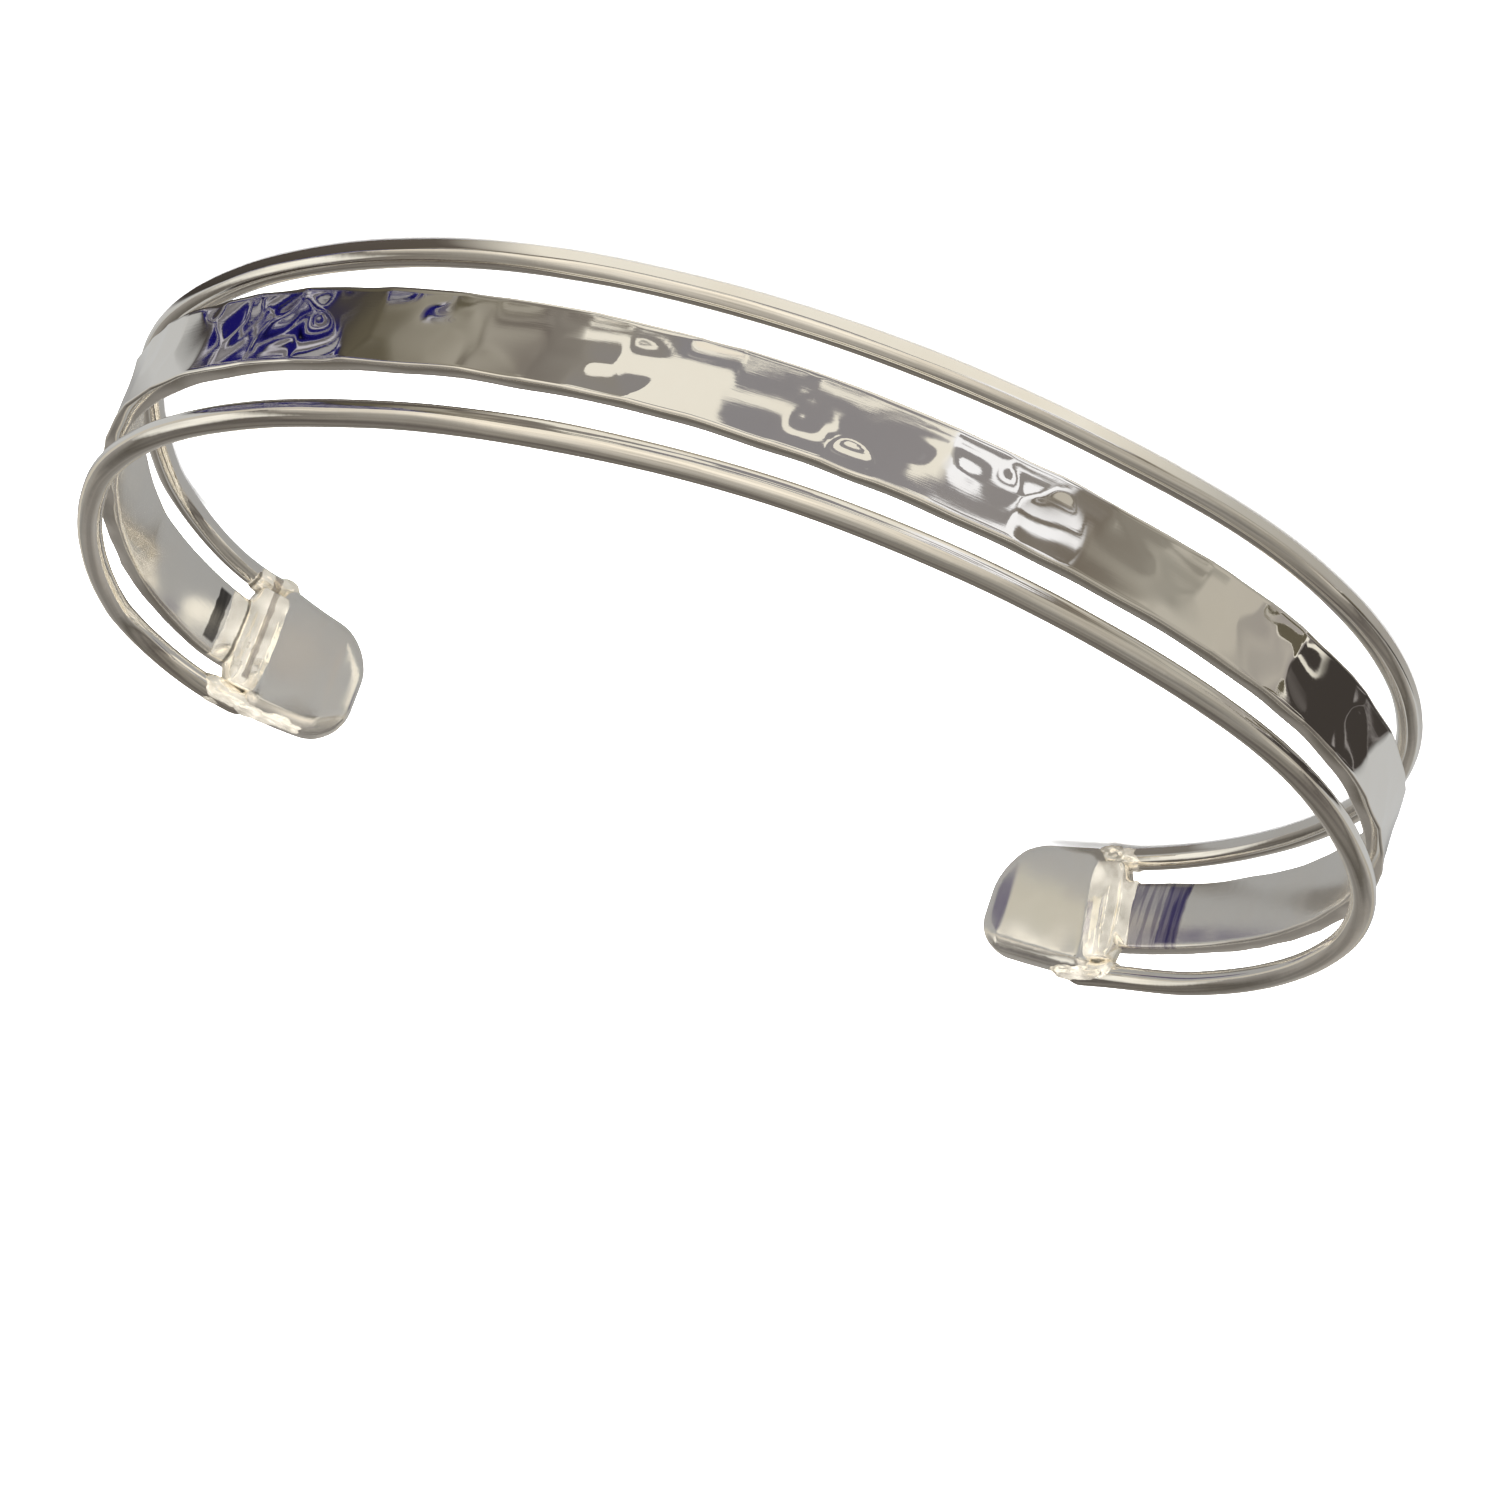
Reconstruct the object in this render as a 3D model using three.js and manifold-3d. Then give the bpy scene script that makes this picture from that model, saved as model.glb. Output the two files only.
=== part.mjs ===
// Hammered cuff bracelet in polished silver, lying on its side.
// Two round edge wires and a hammered band run side by side round the wrist,
// and are soldered to a rounded tab at each end. Soldered, they are one solid.
// Millimetres, +Z up: the wrist goes through along Z, the crown of the cuff
// faces -Y, and the gap between the tabs faces +Y.
import * as THREE from 'three';
import { mergeVertices } from 'three/addons/utils/BufferGeometryUtils.js';
import Module from 'manifold-3d';

const wasm = await Module();
wasm.setup();

// Plan of the cuff
const cuffWidth = 60; // across the middles of the wires

// Edge wires
const wireDiameter = 1.16;
const wireSeatInset = 0.32; // from a tab's edge in to the middle of the wire
const leftSeatLift = 0.1; // how far the lower wire has risen where it meets the left tab
const rightSeatLift = 1.0;
const wireSides = 12;
const wireStepLength = 1.55;

// Hammered band
const bandWidth = 3.6;
const bandThickness = 0.95;
const bandDish = 0.2; // how far the lips stand out past the middle of the band
const bandLipThickness = 0.8; // the band's four edges are eased
const bandStepLength = 1.0;
const slotWidth = 1.3; // between the band and each wire, at the crown

// Hammer marks
const dentDepth = 0.13;
const dentRadius = 1.75;
const dentPitch = 2.6; // along the band
const dentWander = 0.45; // how far a mark strays from its place in the row

// End tabs
const leftTabLength = 6.4;
const rightTabLength = 5.6;
const tabWidth = 7.0; // at the base, where the wires meet it
const tabThickness = 2.0;
const tabEdgeRound = 0.7;
const tabBaseCorner = 0.9; // corner radius of the outline, beside the wires
const tabEdgeBow = 0.06; // how far each edge of the outline bows outward
const tabInward = 0.15; // how far a tab sits inside the line of the wires
const tabOutlinePoints = 48;

// Solder
const stripOverlap = 1.1; // how far the wires and the band run into a tab
const solderRadius = 0.64; // of a lump where a wire meets a tab
const solderStretch = 1.35; // a lump is this much longer along the wire
const solderSeamDepth = 0.5; // of the seam where the band meets a tab, along the band

// Each half of the plan is a chain of arcs from the crown to the tip of a tab.
// radius is a share of cuffWidth, and sweep is in degrees. The cuff was bent by
// hand, so that the two halves differ a little.
const leftBends = [
  { radius: 0.64, sweep: 21.5 },
  { radius: 0.39, sweep: 35.5 },
  { radius: 0.4, sweep: 34.5 },
  { radius: 0.57, sweep: 24.0 },
  { radius: 0.45, sweep: 29.7 },
];
const rightBends = [
  { radius: 0.53, sweep: 26.5 },
  { radius: 0.54, sweep: 26.0 },
  { radius: 0.39, sweep: 31.5 },
  { radius: 0.84, sweep: 19.0 },
  { radius: 0.18, sweep: 85.0 },
];

// Distance between the wires from the crown to a tab. along is a share of the
// way to the tab, and spread is a share of the distance at the crown.
const wireSpread = [
  { along: 0, spread: 1 },
  { along: 0.33, spread: 1.06 },
  { along: 0.6, spread: 1.09 },
  { along: 0.87, spread: 0.975 },
];

// How far the band strays from the middle of the slot. along is a share of the
// way to the tab, minus on the left, and rise is a share of slotWidth.
const bandDrift = [
  { along: -1, rise: 0 },
  { along: -0.4, rise: 0.33 },
  { along: 0, rise: 0.19 },
  { along: 0.3, rise: -0.06 },
  { along: 0.6, rise: -0.18 },
  { along: 1, rise: 0 },
];

// Where the lower wire was bent tighter than the band. along is a signed share
// of the way to the tab, and inward is a share of wireDiameter.
const lowerWireTuck = [
  { along: 0.2, inward: 0 },
  { along: 0.48, inward: 0.62 },
  { along: 0.68, inward: 0 },
];

// Points across the band, as shares of half its width
const outerFaceAcross = [-1, -0.93, -0.45, 0, 0.45, 0.93, 1];
const innerFaceAcross = [1, 0.93, 0, -0.93, -1];

// Outline of each tab, as shares of tabWidth: how much its edges close in by
// the tip, the corner radii there, and how far the upper end of its base
// reaches towards the crown past the lower end
const leftOutline = {
  lowerTaper: 0.01,
  upperTaper: 0.17,
  lowerCorner: 0.4,
  upperCorner: 0.24,
  baseReach: 0.15,
};
const rightOutline = {
  lowerTaper: 0.17,
  upperTaper: 0.01,
  lowerCorner: 0.3,
  upperCorner: 0.3,
  baseReach: 0,
};

const wireRadius = wireDiameter / 2;
const crownSpacing = bandWidth + 2 * slotWidth + wireDiameter;
const seatSpacing = tabWidth - 2 * wireSeatInset;
const leftLength = chainLength(leftBends);
const rightLength = chainLength(rightBends);
const leftSeat = leftLength - leftTabLength;
const rightSeat = rightLength - rightTabLength;

// Length of a chain of arcs
function chainLength(bends) {
  let length = 0;
  for (const bend of bends) {
    length += bend.radius * cuffWidth * THREE.MathUtils.degToRad(bend.sweep);
  }
  return length;
}

// Place and outward direction in plan at a distance from the crown, for the
// half of the cuff on the +X side. Past the tip the last arc goes on.
function placeOnChain(bends, distance) {
  let x = 0;
  let y = 0;
  let heading = 0;
  let left = distance;
  for (const bend of bends) {
    const radius = bend.radius * cuffWidth;
    const isLast = bend === bends[bends.length - 1];
    const sweep = isLast ? left / radius : Math.min(THREE.MathUtils.degToRad(bend.sweep), left / radius);
    const next = heading + sweep;
    x += radius * (Math.sin(next) - Math.sin(heading));
    y += radius * (Math.cos(heading) - Math.cos(next));
    heading = next;
    left -= sweep * radius;
    if (left <= 0) break;
  }
  return { x, y, outX: Math.sin(heading), outY: -Math.cos(heading) };
}

// Place in plan at a signed distance from the crown, positive towards +X
function placeInPlan(along) {
  if (along >= 0) return placeOnChain(rightBends, along);
  const place = placeOnChain(leftBends, -along);
  return { x: -place.x, y: place.y, outX: -place.outX, outY: place.outY };
}

// Smooth curve through the rows of a table, with level ends
function smoothValue(rows, at) {
  const last = rows.length - 1;
  if (at <= rows[0].at) return rows[0].value;
  if (at >= rows[last].at) return rows[last].value;
  const after = rows.findIndex((row) => row.at > at);
  const before = after - 1;
  const slopeAt = (index) => {
    if (index === 0 || index === last) return 0;
    return (rows[index + 1].value - rows[index - 1].value) / (rows[index + 1].at - rows[index - 1].at);
  };
  const span = rows[after].at - rows[before].at;
  const t = (at - rows[before].at) / span;
  const bump = t * t * (3 - 2 * t);
  const startSlope = slopeAt(before) * span * t * (1 - t) * (1 - t);
  const endSlope = slopeAt(after) * span * t * t * (t - 1);
  return rows[before].value + (rows[after].value - rows[before].value) * bump + startSlope + endSlope;
}

// Share of the way from the crown to the tab on the same side
function shareToSeat(along) {
  return along >= 0 ? along / rightSeat : -along / leftSeat;
}

const spacingRows = [
  ...wireSpread.map((row) => ({ at: row.along, value: row.spread * crownSpacing })),
  { at: 1, value: seatSpacing },
];
const liftStart = wireSpread[wireSpread.length - 1].along;
const leftLiftRows = [{ at: liftStart, value: 0 }, { at: 1, value: leftSeatLift }];
const rightLiftRows = [{ at: liftStart, value: 0 }, { at: 1, value: rightSeatLift }];
const driftRows = bandDrift.map((row) => ({ at: row.along, value: row.rise * slotWidth }));
const tuckRows = lowerWireTuck.map((row) => ({ at: row.along, value: row.inward * wireDiameter }));

// Heights of the wires' middles above the surface that the cuff lies on
function lowerWireHeight(along) {
  return wireRadius + smoothValue(along >= 0 ? rightLiftRows : leftLiftRows, shareToSeat(along));
}

function upperWireHeight(along) {
  return lowerWireHeight(along) + smoothValue(spacingRows, shareToSeat(along));
}

function middleHeight(along) {
  return (lowerWireHeight(along) + upperWireHeight(along)) / 2;
}

function bandHeight(along) {
  return middleHeight(along) + smoothValue(driftRows, Math.sign(along) * shareToSeat(along));
}

// Distance outward of the wires' middles
function lowerWireOutward(along) {
  return -smoothValue(tuckRows, Math.sign(along) * shareToSeat(along));
}

function upperWireOutward() {
  return 0;
}

// Bends a straight piece round the plan. toStrip gives each point of it as a
// distance along the cuff, a height, and a distance outward.
function bendRound(geometry, toStrip) {
  const position = geometry.attributes.position;
  for (let i = 0; i < position.count; i++) {
    const strip = toStrip(position.getX(i), position.getY(i), position.getZ(i));
    const place = placeInPlan(strip.along);
    position.setXYZ(
      i,
      place.x + place.outX * strip.outward,
      place.y + place.outY * strip.outward,
      strip.height,
    );
  }
  return geometry;
}

// Extrusion that starts at the left tab and ends at the right one
function stripBlank(outline, stepLength) {
  const start = -leftSeat - stripOverlap;
  const length = rightSeat + stripOverlap - start;
  const blank = new THREE.ExtrudeGeometry(new THREE.Shape(outline), {
    depth: length,
    steps: Math.round(length / stepLength),
    bevelEnabled: false,
  });
  return blank.translate(0, 0, start);
}

// Round wire with a flat of its section facing down
function edgeWire(heightAt, outwardAt) {
  const outline = [];
  const cornerRadius = wireRadius / Math.cos(Math.PI / wireSides);
  for (let side = 0; side < wireSides; side++) {
    const angle = ((side + 0.5) / wireSides) * 2 * Math.PI;
    outline.push(new THREE.Vector2(cornerRadius * Math.cos(angle), cornerRadius * Math.sin(angle)));
  }
  return bendRound(stripBlank(outline, wireStepLength), (up, outward, along) => ({
    along,
    height: heightAt(along) + up,
    outward: outwardAt(along) + outward,
  }));
}

// Distance outward of the middle of the band's wall
function dishAt(across) {
  return bandDish * (across * across - 0.5);
}

// Depth of the hammer marks at a point of the band's outer face. The marks
// stand in three rows that wander a little.
function dentAt(along, up) {
  const rows = 3;
  const rowPitch = bandWidth / rows;
  let depth = 0;
  for (let row = 0; row < rows; row++) {
    const nearest = Math.round(along / dentPitch - row / rows);
    for (let mark = nearest - 1; mark <= nearest + 1; mark++) {
      const seed = mark * 2.4 + row * 1.7;
      const markAlong = (mark + row / rows) * dentPitch + dentWander * Math.sin(seed * 3.1);
      const markUp = (row - (rows - 1) / 2) * rowPitch + dentWander * Math.sin(seed * 5.3);
      const reach = Math.hypot(along - markAlong, up - markUp) / dentRadius;
      if (reach < 1) depth = Math.max(depth, dentDepth * (1 - reach * reach));
    }
  }
  return depth;
}

// Slightly dished band with eased edges, hammered on its outer face
function hammeredBand() {
  const halfWidth = bandWidth / 2;
  const wallAt = (across) => (Math.abs(across) === 1 ? bandLipThickness : bandThickness) / 2;
  const outline = [];
  for (const across of outerFaceAcross) {
    outline.push(new THREE.Vector2(across * halfWidth, dishAt(across) + wallAt(across)));
  }
  for (const across of innerFaceAcross) {
    outline.push(new THREE.Vector2(across * halfWidth, dishAt(across) - wallAt(across)));
  }
  return bendRound(stripBlank(outline, bandStepLength), (up, outward, along) => {
    const isOuter = outward > dishAt(up / halfWidth);
    return {
      along,
      height: bandHeight(along) + up,
      outward: isOuter ? outward - dentAt(along, up) : outward,
    };
  });
}

// Carries an anticlockwise outline on to a point, along an edge that bows outward
function bowedEdge(outline, x, y) {
  const from = outline.currentPoint;
  const reach = (2 * tabEdgeBow) / Math.hypot(x - from.x, y - from.y);
  outline.quadraticCurveTo(
    (from.x + x) / 2 + (y - from.y) * reach,
    (from.y + y) / 2 - (x - from.x) * reach,
    x,
    y,
  );
}

// Rounded pad. side is 1 for the right tab and -1 for the left one.
function endTab(side, shares) {
  const seat = side > 0 ? rightSeat : leftSeat;
  const tabLength = side > 0 ? rightTabLength : leftTabLength;
  const low = -tabWidth / 2;
  const high = tabWidth / 2;
  const tipLow = low + shares.lowerTaper * tabWidth;
  const tipHigh = high - shares.upperTaper * tabWidth;
  const lowerCorner = shares.lowerCorner * tabWidth;
  const upperCorner = shares.upperCorner * tabWidth;
  const upperBase = tabBaseCorner - shares.baseReach * tabWidth;
  const outline = new THREE.Shape();
  outline.moveTo(tabBaseCorner, low);
  bowedEdge(outline, tabLength - lowerCorner, tipLow);
  outline.absarc(tabLength - lowerCorner, tipLow + lowerCorner, lowerCorner, -Math.PI / 2, 0, false);
  bowedEdge(outline, tabLength, tipHigh - upperCorner);
  outline.absarc(tabLength - upperCorner, tipHigh - upperCorner, upperCorner, 0, Math.PI / 2, false);
  bowedEdge(outline, upperBase, high);
  outline.absarc(upperBase, high - tabBaseCorner, tabBaseCorner, Math.PI / 2, Math.PI, false);
  bowedEdge(outline, 0, low + tabBaseCorner);
  outline.absarc(tabBaseCorner, low + tabBaseCorner, tabBaseCorner, Math.PI, 1.5 * Math.PI, false);
  const points = outline.getSpacedPoints(tabOutlinePoints).slice(0, -1);
  const placed = points.map((point) => new THREE.Vector2(side * (seat + point.x), point.y));
  const blank = new THREE.ExtrudeGeometry(new THREE.Shape(placed), {
    depth: tabThickness - 2 * tabEdgeRound,
    steps: 1,
    bevelEnabled: true,
    bevelThickness: tabEdgeRound,
    bevelSize: tabEdgeRound,
    bevelOffset: -tabEdgeRound,
    bevelSegments: 3,
  });
  const middle = middleHeight(side * seat);
  const inner = tabEdgeRound - tabThickness / 2 - tabInward;
  return bendRound(blank, (along, up, outward) => ({
    along,
    height: middle + up,
    outward: outward + inner,
  }));
}

// Lump of solder, from its middle and its three radii
function solderLump(middle, radii) {
  const blank = new THREE.IcosahedronGeometry(1, 1);
  return bendRound(blank, (x, y, z) => ({
    along: middle.along + x * radii.along,
    height: middle.height + y * radii.height,
    outward: middle.outward + z * radii.outward,
  }));
}

// Solder of one tab: a lump round each wire and a seam across the band
function tabSolder(side, shares) {
  const along = side * (side > 0 ? rightSeat : leftSeat);
  const reach = side * shares.baseReach * tabWidth;
  const lump = { along: solderRadius * solderStretch, height: solderRadius, outward: solderRadius };
  const seam = { along: solderSeamDepth, height: bandWidth / 2, outward: bandDish };
  return [
    solderLump({ along, height: lowerWireHeight(along), outward: 0 }, lump),
    solderLump({ along: along - reach, height: upperWireHeight(along), outward: 0 }, lump),
    solderLump({ along: along - reach / 2, height: bandHeight(along), outward: 0 }, seam),
  ];
}

// Closed mesh as a solid for joining
function toSolid(geometry) {
  geometry.deleteAttribute('normal');
  geometry.deleteAttribute('uv');
  const merged = mergeVertices(geometry, 1e-5);
  return new wasm.Manifold(new wasm.Mesh({
    numProp: 3,
    vertProperties: new Float32Array(merged.attributes.position.array),
    triVerts: new Uint32Array(merged.index.array),
  }));
}

function toGeometry(solid) {
  const mesh = solid.getMesh();
  const geometry = new THREE.BufferGeometry();
  geometry.setAttribute('position', new THREE.BufferAttribute(mesh.vertProperties, 3));
  geometry.setIndex(new THREE.BufferAttribute(mesh.triVerts, 1));
  geometry.computeVertexNormals();
  return geometry;
}

// All the pieces, soldered into one
function solderedCuff() {
  const pieces = [
    hammeredBand(),
    edgeWire(lowerWireHeight, lowerWireOutward),
    edgeWire(upperWireHeight, upperWireOutward),
    endTab(-1, leftOutline),
    endTab(1, rightOutline),
    ...tabSolder(-1, leftOutline),
    ...tabSolder(1, rightOutline),
  ];
  const solids = pieces.map(toSolid);
  return toGeometry(solids.reduce((joined, solid) => joined.add(solid)));
}

const silver = new THREE.MeshStandardMaterial({ color: 0xcfc9bf, roughness: 0.16, metalness: 1 });

// The origin is the middle of the cuff's footprint, on the surface it lies on
const cuff = new THREE.Mesh(solderedCuff(), silver);
cuff.name = 'cuff';
cuff.geometry.computeBoundingBox();
const box = cuff.geometry.boundingBox;
cuff.position.set(-(box.min.x + box.max.x) / 2, -(box.min.y + box.max.y) / 2, -box.min.z);

const bracelet = new THREE.Group();
bracelet.add(cuff);

export default bracelet;
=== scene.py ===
"""Open cuff bracelet in polished silver, lying on its side on a pale floor.

A hammered band and two round edge wires run side by side round the wrist and are
soldered to a rounded tab at each end. Each piece is modelled straight, as
(distance along the cuff, height, distance outward), and is then bent round the plan.
"""

import math
import random

import bmesh
import bpy
from bpy.props import FloatProperty, FloatVectorProperty, IntProperty, PointerProperty
from mathutils import Matrix, Vector, noise


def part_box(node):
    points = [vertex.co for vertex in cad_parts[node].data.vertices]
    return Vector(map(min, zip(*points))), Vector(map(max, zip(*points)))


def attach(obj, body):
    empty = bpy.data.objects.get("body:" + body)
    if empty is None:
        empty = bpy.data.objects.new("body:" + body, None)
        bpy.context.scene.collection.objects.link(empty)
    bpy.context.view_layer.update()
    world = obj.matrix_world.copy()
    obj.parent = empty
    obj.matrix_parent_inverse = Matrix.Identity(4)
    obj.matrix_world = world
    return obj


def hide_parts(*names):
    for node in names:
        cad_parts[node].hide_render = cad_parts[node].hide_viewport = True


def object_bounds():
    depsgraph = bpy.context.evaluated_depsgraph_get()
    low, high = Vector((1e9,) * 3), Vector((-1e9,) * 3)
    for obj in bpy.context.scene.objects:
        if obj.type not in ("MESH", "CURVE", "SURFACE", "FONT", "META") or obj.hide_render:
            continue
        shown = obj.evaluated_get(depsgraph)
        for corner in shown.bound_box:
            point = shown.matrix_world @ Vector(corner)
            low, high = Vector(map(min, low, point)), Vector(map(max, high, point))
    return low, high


bl_info = {
    "name": "Hammered Cuff Bracelet",
    "version": (1, 0, 0),
    "blender": (4, 5, 0),
    "location": "3D View > Sidebar > Cuff",
    "description": "Makes an open silver cuff bracelet, piece by piece, and a studio for it",
    "category": "Mesh",
}

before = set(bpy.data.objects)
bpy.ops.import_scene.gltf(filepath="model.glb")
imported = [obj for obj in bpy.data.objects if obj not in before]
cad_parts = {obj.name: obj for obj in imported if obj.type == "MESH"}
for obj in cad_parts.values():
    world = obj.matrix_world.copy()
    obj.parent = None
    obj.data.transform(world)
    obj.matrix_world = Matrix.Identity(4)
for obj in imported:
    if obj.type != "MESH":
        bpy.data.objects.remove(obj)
cad_low, cad_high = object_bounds()

CAD_NODE = "cuff"
BODY = "root"

MM = 0.001

# Sides of the cuff, as the sign of the distance along it from the crown
LEFT, RIGHT = -1, 1
SIDE_NAMES = {LEFT: "left", RIGHT: "right"}

# Each half of the plan is a chain of arcs from the crown to the tip of a tab: the
# radius as a share of the cuff's width, and the sweep in degrees
BENDS = {
    LEFT: ((0.64, 21.5), (0.39, 35.5), (0.4, 34.5), (0.57, 24.0), (0.45, 29.7)),
    RIGHT: ((0.53, 26.5), (0.54, 26.0), (0.39, 31.5), (0.84, 19.0), (0.18, 85.0)),
}

# Share of the way from the crown to a tab, and the distance between the wires there
# as a share of their distance at the crown
WIRE_SPREAD = ((0.0, 1.0), (0.33, 1.06), (0.6, 1.09), (0.87, 0.975))

# Signed share of the way to a tab, minus on the left, and how far the band strays
# from the middle of the slot there as a share of the slot's width
BAND_DRIFT = ((-1.0, 0.0), (-0.4, 0.33), (0.0, 0.19), (0.3, -0.06), (0.6, -0.18), (1.0, 0.0))

# Signed share of the way to a tab, and how far the lower wire sits inside the band's
# line there as a share of its diameter
LOWER_WIRE_TUCK = ((0.2, 0.0), (0.48, 0.62), (0.68, 0.0))

# Outline of each tab, as shares of its width
OUTLINES = {
    LEFT: {
        "lower_taper": 0.01,
        "upper_taper": 0.17,
        "lower_corner": 0.4,
        "upper_corner": 0.24,
        "base_reach": 0.15,
    },
    RIGHT: {
        "lower_taper": 0.17,
        "upper_taper": 0.01,
        "lower_corner": 0.3,
        "upper_corner": 0.3,
        "base_reach": 0.0,
    },
}

# Inner side of the solder along each tab's base: millimetres from the base towards the
# tip, and millimetres that the solder stands in past the band's inner face there
FILLETS = {
    LEFT: (
        (-1.95, -0.04),
        (-1.75, 0.08),
        (-1.5, 0.36),
        (-1.3, 0.4),
        (-1.12, 0.34),
        (-0.85, 0.62),
        (-0.6, 0.66),
        (-0.35, 0.58),
        (0.1, 0.62),
        (0.5, 0.6),
        (1.0, 0.5),
    ),
    RIGHT: (
        (-2.5, -0.04),
        (-2.3, 0.06),
        (-1.95, 0.32),
        (-1.6, 0.4),
        (-1.4, 0.3),
        (-1.2, 0.38),
        (-0.95, 0.58),
        (-0.7, 0.6),
        (-0.4, 0.54),
        (-0.1, 0.66),
        (0.15, 0.72),
        (0.4, 0.64),
        (1.0, 0.5),
    ),
}

# Lumps of solder round the ends of the wires. Place in millimetres: towards the tip from
# the corner of the tab's base, up from the wire's middle, and outward. Radii along, up
# and outward as shares of the solder's radius
LOWER_LUMPS = (
    ((0.1, 0.0, -0.25), (1.4, 0.95, 1.0)),
    ((-1.0, 0.1, -0.12), (1.7, 0.95, 1.05)),
)
UPPER_LUMPS = {
    LEFT: (
        ((1.0, -0.05, -0.3), (2.8, 0.85, 1.0)),
        ((-0.7, -0.15, -0.15), (1.2, 0.85, 0.9)),
    ),
    RIGHT: (
        ((0.8, 0.0, -0.3), (2.6, 0.85, 1.0)),
        ((2.3, 0.05, -0.6), (2.4, 0.6, 0.65)),
        ((-1.1, -0.05, -0.1), (2.5, 1.05, 1.05)),
    ),
}
LUMP_ROUGHNESS = 0.22

# Hammer marks: rows across the band, and ranges of radius and depth as shares of a full
# mark. None reaches as far as LARGEST_MARK
MARK_ROWS = 3
MARK_RADII = (0.65, 1.15)
MARK_DEPTHS = (0.3, 1.0)
LARGEST_MARK = 3 * MM
RIDGE_SHARPNESS = 5

# Unevenness of handwork: how much, and over what distance along the cuff
BAND_STRAY = (0.05 * MM, 7 * MM)
BAND_EDGE_WAVE = (0.07 * MM, 2.6 * MM)
WIRE_SWELL = (0.02, 9 * MM)
WIRE_RISE = (0.05 * MM, 8 * MM)
WIRE_SWAY = (0.06 * MM, 8 * MM)
WIRE_FLATS = (0.035, 4 * MM)
TAB_WEAR = (0.04 * MM, 2.2 * MM)
FILLET_BUMPS = (0.07, 0.8 * MM)


def size_property(name, description, millimetres):
    return FloatProperty(
        name=name, description=description, default=millimetres * MM, unit="LENGTH", precision=5
    )


def color_property(name, description, default):
    return FloatVectorProperty(
        name=name, description=description, default=default, subtype="COLOR", min=0.0, max=1.0
    )


def roughness_property(name, description, default):
    return FloatProperty(
        name=name, description=description, default=default, subtype="FACTOR", min=0.0, max=1.0
    )


class CuffSizes(bpy.types.PropertyGroup):
    """Sizes of the cuff's pieces."""

    cuff_width: size_property("Cuff width", "Across the middles of the wires", 60)
    wire_diameter: size_property("Wire diameter", "Diameter of both edge wires", 1.16)
    wire_seat_inset: size_property("Wire seat inset", "From a tab's edge to a wire's middle", 0.32)
    left_seat_lift: size_property("Left seat lift", "Rise of the lower wire at that tab", 0.1)
    right_seat_lift: size_property("Right seat lift", "Rise of the lower wire at that tab", 1.0)
    band_width: size_property("Band width", "Width of the hammered band", 3.6)
    band_thickness: size_property("Band thickness", "Thickness of the band", 0.95)
    band_dish: size_property("Band dish", "How far the lips stand out past the middle", 0.1)
    band_edge_round: size_property("Band edge round", "Rounding of the band's edges", 0.16)
    slot_width: size_property("Slot width", "From the band to each wire, at the crown", 1.3)
    dent_depth: size_property("Dent depth", "Depth of a full hammer mark", 0.14)
    dent_radius: size_property("Dent radius", "Radius of a full hammer mark", 1.9)
    dent_pitch: size_property("Dent pitch", "Distance between marks along a row", 2.6)
    dent_wander: size_property("Dent wander", "How far a mark strays from its row", 0.6)
    left_tab_length: size_property("Left tab length", "Length of the left tab", 6.4)
    right_tab_length: size_property("Right tab length", "Length of the right tab", 5.6)
    tab_width: size_property("Tab width", "Width of both tabs at their bases", 7.0)
    tab_thickness: size_property("Tab thickness", "Thickness of both tabs", 2.0)
    tab_edge_round: size_property("Tab edge round", "Rounding of the tabs' rims", 0.7)
    tab_base_corner: size_property("Tab base corner", "Corner radius beside the wires", 0.9)
    tab_tip_run: size_property("Tab tip run", "Length over which a tab thins to its tip", 1.4)
    tab_inward: size_property("Tab inward", "How far a tab sits inside the wires' line", 0.15)
    strip_overlap: size_property("Strip overlap", "How far wires and band run into a tab", 1.1)
    solder_radius: size_property("Solder radius", "Radius of a lump at a wire", 0.62)


class SilverFinish(bpy.types.PropertyGroup):
    """Colours and gloss of the silver."""

    bright: color_property("Bright silver", "Freshly polished silver", (0.94, 0.925, 0.895))
    warm: color_property("Warm silver", "Where a little tarnish has settled", (0.88, 0.835, 0.76))
    solder: color_property("Solder", "Colour of the solder", (0.97, 0.91, 0.79))
    mirror_roughness: roughness_property("Mirror roughness", "Of the polished faces", 0.03)
    satin_roughness: roughness_property("Satin roughness", "Of the brushed faces", 0.15)
    solder_roughness: roughness_property("Solder roughness", "Of the solder", 0.13)
    seed: IntProperty(name="Seed", description="Seed of the hammer marks", default=11)


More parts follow.
